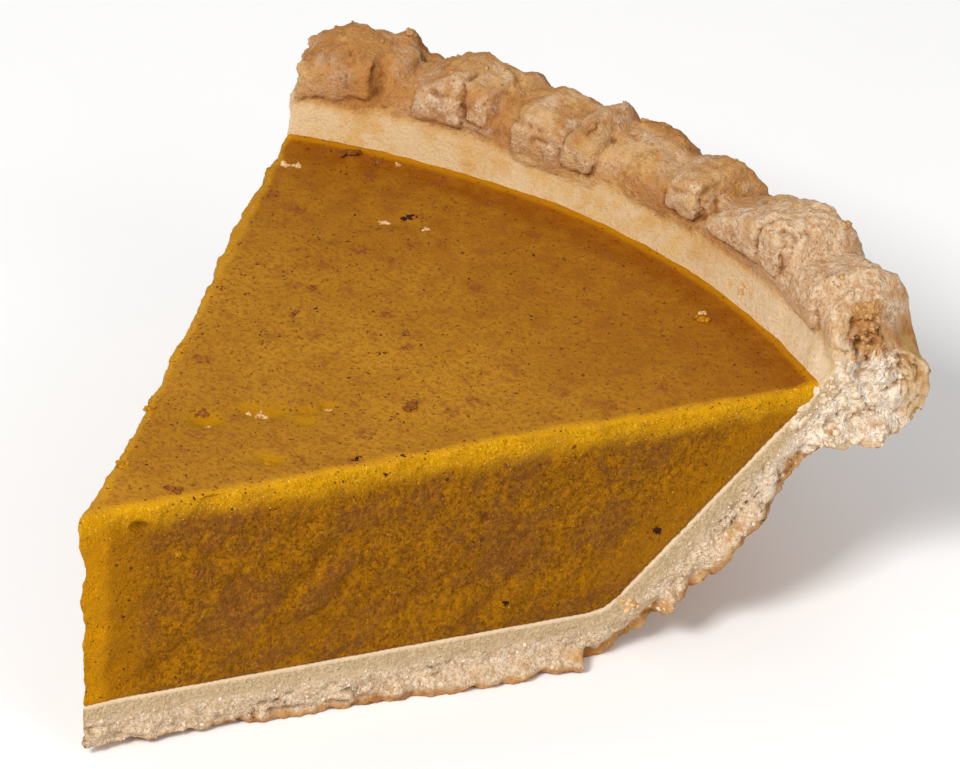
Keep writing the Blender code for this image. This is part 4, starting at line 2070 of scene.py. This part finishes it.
@dataclass
class LooseBits:
    """The crumbs, flecks of spice and bits of custard that lie on the slice, and pale specks as
    painted glints.

    The crest's flakes are pairs of an angle in degrees and a size in millimetres.
    """

    shape: PieShape
    top_specks: int = 2300
    face_specks: int = 560
    grains: int = 800
    sparkles: int = 200
    end_clumps: int = 190
    cavity_crumbs: int = 100
    rim_flakes: int = 160
    top_grit: Grit = Grit(0.13, 0.27, 4, 0.4, 0.42, 2.0)
    face_grit: Grit = Grit(0.15, 0.34, 4, 0.4, 0.42, 2.0)
    grain_grit: Grit = Grit(0.25, 0.5, 3, 0.7, 0.5, 1.5)
    clump_grit: Grit = Grit(0.4, 1.1, 2, 0.42, 0.6, 1.8, 2)
    flake_grit: Grit = Grit(0.25, 0.6, 3, 0.4, 0.45, 1.9)
    kinds: tuple[tuple[Bit, PlainFoodFinish, str], ...] = (
        (Bit.PASTRY, PlainFoodFinish("pastry_crumb", tone(226, 188, 140), tone(192, 140, 84)),
         "crust"),
        (Bit.BROWN, PlainFoodFinish("brown_crumb", tone(148, 88, 26), tone(112, 60, 22)),
         "filling"),
        (Bit.SPICE, PlainFoodFinish("dark_spice", tone(64, 24, 22), tone(40, 16, 20)),
         "filling"),
        (Bit.CUSTARD, PlainFoodFinish("custard_bit", tone(192, 132, 8), tone(166, 104, 8)),
         "filling"),
    )
    speck_finish: PlainFoodFinish = PlainFoodFinish(
        "spice", tone(126, 70, 24), tone(70, 34, 16), 3.0, 0.7)
    # Painted glints: the pale yellow specks stand in for highlights on the moist custard.
    glint_finish: PlainFoodFinish = PlainFoodFinish(
        "glint", tone(226, 172, 60), tone(204, 146, 30), roughness=0.3)
    grain_finish: PlainFoodFinish = PlainFoodFinish(
        "pale_grain", tone(236, 216, 192), tone(206, 174, 132))
    flake_finish: PlainFoodFinish = PlainFoodFinish(
        "rim_flake", tone(206, 160, 106), tone(166, 116, 64))
    crest_radius: float = 117.6
    crest_flakes: tuple[tuple[float, float], ...] = (
        (53.8, 1.4), (53.0, 1.2), (52.7, 1.5), (50.0, 1.3), (48.6, 1.7),
        (48.3, 1.0), (44.9, 0.8), (31.4, 1.5), (29.8, 1.2), (8.9, 1.4),
    )
    morsels: tuple[Morsel, ...] = (
        Morsel(Bit.SPICE, 91.2, 41.9, 1.0, 2.2, flatness=0.4),
        Morsel(Bit.PASTRY, 88.5, 43.5, 1.2, 1.3),
        Morsel(Bit.PASTRY, 89.5, 39.6, 0.9, 1.3),
        Morsel(Bit.BROWN, 102.7, 50.3, 2.0, 1.4),
        Morsel(Bit.BROWN, 103.0, 48.0, 1.4, 1.3),
        Morsel(Bit.PASTRY, 103.2, 46.4, 0.8, 1.2),
        Morsel(Bit.PASTRY, 97.7, 55.0, 1.3, 1.3),
        Morsel(Bit.PASTRY, 98.2, 53.9, 1.1, 1.1),
        Morsel(Bit.BROWN, 30.8, 41.5, 1.3, 1.4, flatness=0.4),
        Morsel(Bit.PASTRY, 28.7, 37.4, 0.9, 1.2),
        Morsel(Bit.PASTRY, 36.0, 30.4, 1.0, 1.6),
        Morsel(Bit.PASTRY, 36.2, 31.9, 0.9, 1.4),
        Morsel(Bit.PASTRY, 35.3, 33.4, 0.7, 1.2),
        Morsel(Bit.PASTRY, 43.1, 23.0, 1.0, 1.2),
        Morsel(Bit.CUSTARD, 40.1, 24.5, 1.1, 1.4, flatness=0.5),
        Morsel(Bit.CUSTARD, 28.5, 13.2, 1.3, 1.4, flatness=0.5),
        Morsel(Bit.BROWN, 51.7, 14.1, 1.7, 1.5, flatness=0.35),
        Morsel(Bit.BROWN, 13.1, 13.6, 1.9, 1.1),
        Morsel(Bit.PASTRY, 100.1, 13.7, 1.0, 1.1),
        Morsel(Bit.CUSTARD, 99.0, 12.8, 1.4, 1.3),
        Morsel(Bit.SPICE, 38.9, 3.9, 0.6, 2.6, flatness=0.3),
        Morsel(Bit.SPICE, 45.0, 2.0, 0.6, 1.8, flatness=0.3),
        Morsel(Bit.BROWN, 67.8, 44.2, 1.2, 1.5, flatness=0.25),
        Morsel(Bit.BROWN, 64.5, 29.1, 1.0, 1.8, flatness=0.25),
        Morsel(Bit.BROWN, 59.7, 43.3, 1.0, 1.8, flatness=0.25),
        Morsel(Bit.CUSTARD, 28.8, 55.2, 1.1, 1.3),
        Morsel(Bit.CUSTARD, 30.5, 54.8, 0.8, 1.3),
        Morsel(Bit.CUSTARD, 46.4, 55.5, 0.9, 1.2),
        Morsel(Bit.CUSTARD, 14.0, 53.0, 1.2, 1.3),
        Morsel(Bit.SPICE, 82.1, 19.7, 1.0, 1.2, Cut.RIGHT, 0.5),
        Morsel(Bit.SPICE, 42.0, 36.4, 0.5, 2.0, Cut.RIGHT, 0.4),
        Morsel(Bit.SPICE, 60.0, 12.6, 0.7, 1.2, Cut.RIGHT, 0.4),
        Morsel(Bit.BROWN, 20.5, 18.6, 1.3, 1.3, Cut.RIGHT, 0.25),
        Morsel(Bit.BROWN, 10.9, 12.9, 1.4, 1.3, Cut.RIGHT, 0.25),
        Morsel(Bit.BROWN, 15.8, 26.0, 1.2, 1.5, Cut.RIGHT, 0.25),
        Morsel(Bit.CUSTARD, 12.5, 29.5, 0.8, 1.2, Cut.RIGHT, 0.5),
        Morsel(Bit.PASTRY, 78.4, 8.4, 1.7, 1.2, Cut.RIGHT),
        Morsel(Bit.PASTRY, 76.9, 9.2, 1.0, 1.2, Cut.RIGHT),
        Morsel(Bit.PASTRY, 106.0, 13.2, 1.5, 1.7, flatness=0.5),
        Morsel(Bit.PASTRY, 106.2, 12.0, 1.0, 1.5, flatness=0.5),
        Morsel(Bit.PASTRY, 105.9, 14.6, 0.8, 1.5, flatness=0.5),
    )

    def build(
        self, crust: bpy.types.Object, filling: bpy.types.Object,
    ) -> list[bpy.types.Object]:
        """Lay every bit on the finished crust and custard.

        Args:
            crust: The finished crust.
            filling: The finished custard.

        Returns:
            The pieces, one for each kind of bit.
        """
        whole = Ground(self.shape, crust, filling)
        custard, pastry = Ground(self.shape, filling), Ground(self.shape, crust)
        pieces = [self.lay_morsels(whole, number) for number in range(len(self.kinds))]
        return [*pieces, self.strew_specks(custard), self.strew_glints(custard),
                self.strew_grains(pastry), self.strew_flakes(pastry)]

    def lay_morsels(self, whole: Ground, number: int) -> bpy.types.Object:
        """Lay the morsels of one kind.

        Args:
            whole: The crust and the custard, to lay them on.
            number: The kind's place in the list of kinds.

        Returns:
            The morsels in one piece.
        """
        kind, finish, slot = self.kinds[number]
        heap = Scatter(kind.value, 31 + number)
        for morsel in self.morsels:
            if morsel.kind is not kind:
                continue
            if morsel.cut:
                found = whole.from_side(morsel.cut, morsel.radius * MM, morsel.place * MM)
            else:
                found = whole.from_above(morsel.radius * MM, morsel.place)
            if found:
                heap.clump(*found, morsel)
        return heap.show(finish, self.shape, slot)

    def strew_specks(self, custard: Ground) -> bpy.types.Object:
        """Strew the fine flecks of spice over the custard's top and cut faces.

        Args:
            custard: The custard, to strew them on.

        Returns:
            The flecks in one piece.
        """
        flecks = Scatter("spice_flecks", 11)
        draw = flecks.draw
        flecks.strew(self.top_specks, self.top_grit, lambda: custard.from_above(
            104.0 * MM * math.sqrt(draw.random()),
            draw.uniform(0.5, self.shape.slice_angle - 0.5)))
        for cut in Cut:
            flecks.strew(self.face_specks // 2, self.face_grit, lambda: custard.from_side(
                cut, draw.uniform(2.0, 100.0) * MM, draw.uniform(9.0, 37.0) * MM))
        return flecks.show(self.speck_finish, self.shape, "filling")

    def strew_glints(self, custard: Ground) -> bpy.types.Object:
        """Strew tiny pale lumps as painted glints of the moist custard over the right-hand cut
        face, most along its upper edge.

        Args:
            custard: The custard, to strew them on.

        Returns:
            The glints in one piece.
        """
        shine = Scatter("custard_glints", 14)
        draw = shine.draw
        for _ in range(self.sparkles):
            radius = draw.uniform(2.0, 103.0) * MM
            height = draw.uniform(10.0, 37.2) * MM
            if draw.random() < 0.6:
                height = draw.uniform(34.0, 37.2) * MM
            found = custard.from_side(Cut.RIGHT, radius, height)
            if found:
                shine.lump(*found, draw.uniform(0.12, 0.24) * MM, 0.6, 0.5)
        return shine.show(self.glint_finish, self.shape, "filling")

    def grain_place(self, draw: random.Random) -> Station:
        """Draw a place for a grain: on the bottom, the wall or the rim of a cut face.

        Args:
            draw: The run of random draws.

        Returns:
            The radius and height.
        """
        share = draw.random()
        if share < 0.34:
            return draw.uniform(1.0, 76.0) * MM, draw.uniform(1.0, 5.6) * MM
        if share < 0.72:
            line = self.shape.holding_side(0.0)
            along = draw.randrange(6)
            mixed = draw.random()
            radius = mix(line[along][0], line[along + 1][0], mixed)
            height = mix(line[along][1], line[along + 1][1], mixed)
            off = draw.uniform(2.4, 7.5) * MM
            return radius + off * 0.70, height - off * 0.71
        return draw.uniform(106.0, 118.0) * MM, draw.uniform(28.0, 41.0) * MM

    def strew_grains(self, pastry: Ground) -> bpy.types.Object:
        """Strew loose pale grains over the crust's cut faces, most at the rim's end.

        Args:
            pastry: The crust, to strew them on.

        Returns:
            The grains in one piece.
        """
        grains = Scatter("pastry_grains", 12)
        draw = grains.draw
        for cut in Cut:
            grains.strew(self.grains // 2, self.grain_grit,
                         lambda: pastry.from_side(cut, *self.grain_place(draw)))
        grains.strew(self.end_clumps, self.clump_grit, lambda: pastry.from_side(
            Cut.RIGHT, draw.uniform(101.0, 117.5) * MM, draw.uniform(29.0, 41.5) * MM))
        return grains.show(self.grain_finish, self.shape, "crust")

    def strew_flakes(self, pastry: Ground) -> bpy.types.Object:
        """Strew flakes along the rim's crest and crumbs in the hollow at its end.

        Args:
            pastry: The crust, to strew them on.

        Returns:
            The flakes in one piece.
        """
        flakes = Scatter("rim_flakes", 13)
        draw = flakes.draw
        flakes.strew(self.rim_flakes, self.flake_grit, lambda: pastry.from_above(
            angle=draw.uniform(1.0, 55.5), radius=draw.uniform(107.0, 119.5) * MM))
        upright = Vector((0.3, 0.5, 1.0)).normalized()
        for angle, size in self.crest_flakes:
            found = pastry.from_above(self.crest_radius * MM, angle)
            if found:
                flakes.lump(found[0], upright, size * 0.8 * MM, 0.7, 0.45, 3, 1.6)
        for _ in range(self.cavity_crumbs):
            found = pastry.from_side(Cut.RIGHT, draw.gauss(112.6, 1.6) * MM,
                                     draw.uniform(41.5, 48.5) * MM)
            if found:
                flakes.lump(*found, draw.uniform(0.3, 0.75) * MM, 0.5, 0.62, 2,
                            draw.uniform(1.0, 1.8))
        return flakes.show(self.flake_finish, self.shape, "crust")


def main() -> None:
    """Build the slice's pieces in order, dress them and report each one."""
    logging.basicConfig(level=logging.INFO, format="%(message)s")
    shape = PieShape()
    crust = Crust(shape).build()
    filling = Filling(shape).build()
    bits = LooseBits(shape).build(crust, filling)
    Studio().build()
    for piece in (crust, filling, *bits):
        LOG.info("%s: %d faces", piece.name, len(piece.data.polygons))


if __name__ == "__main__":
    main()
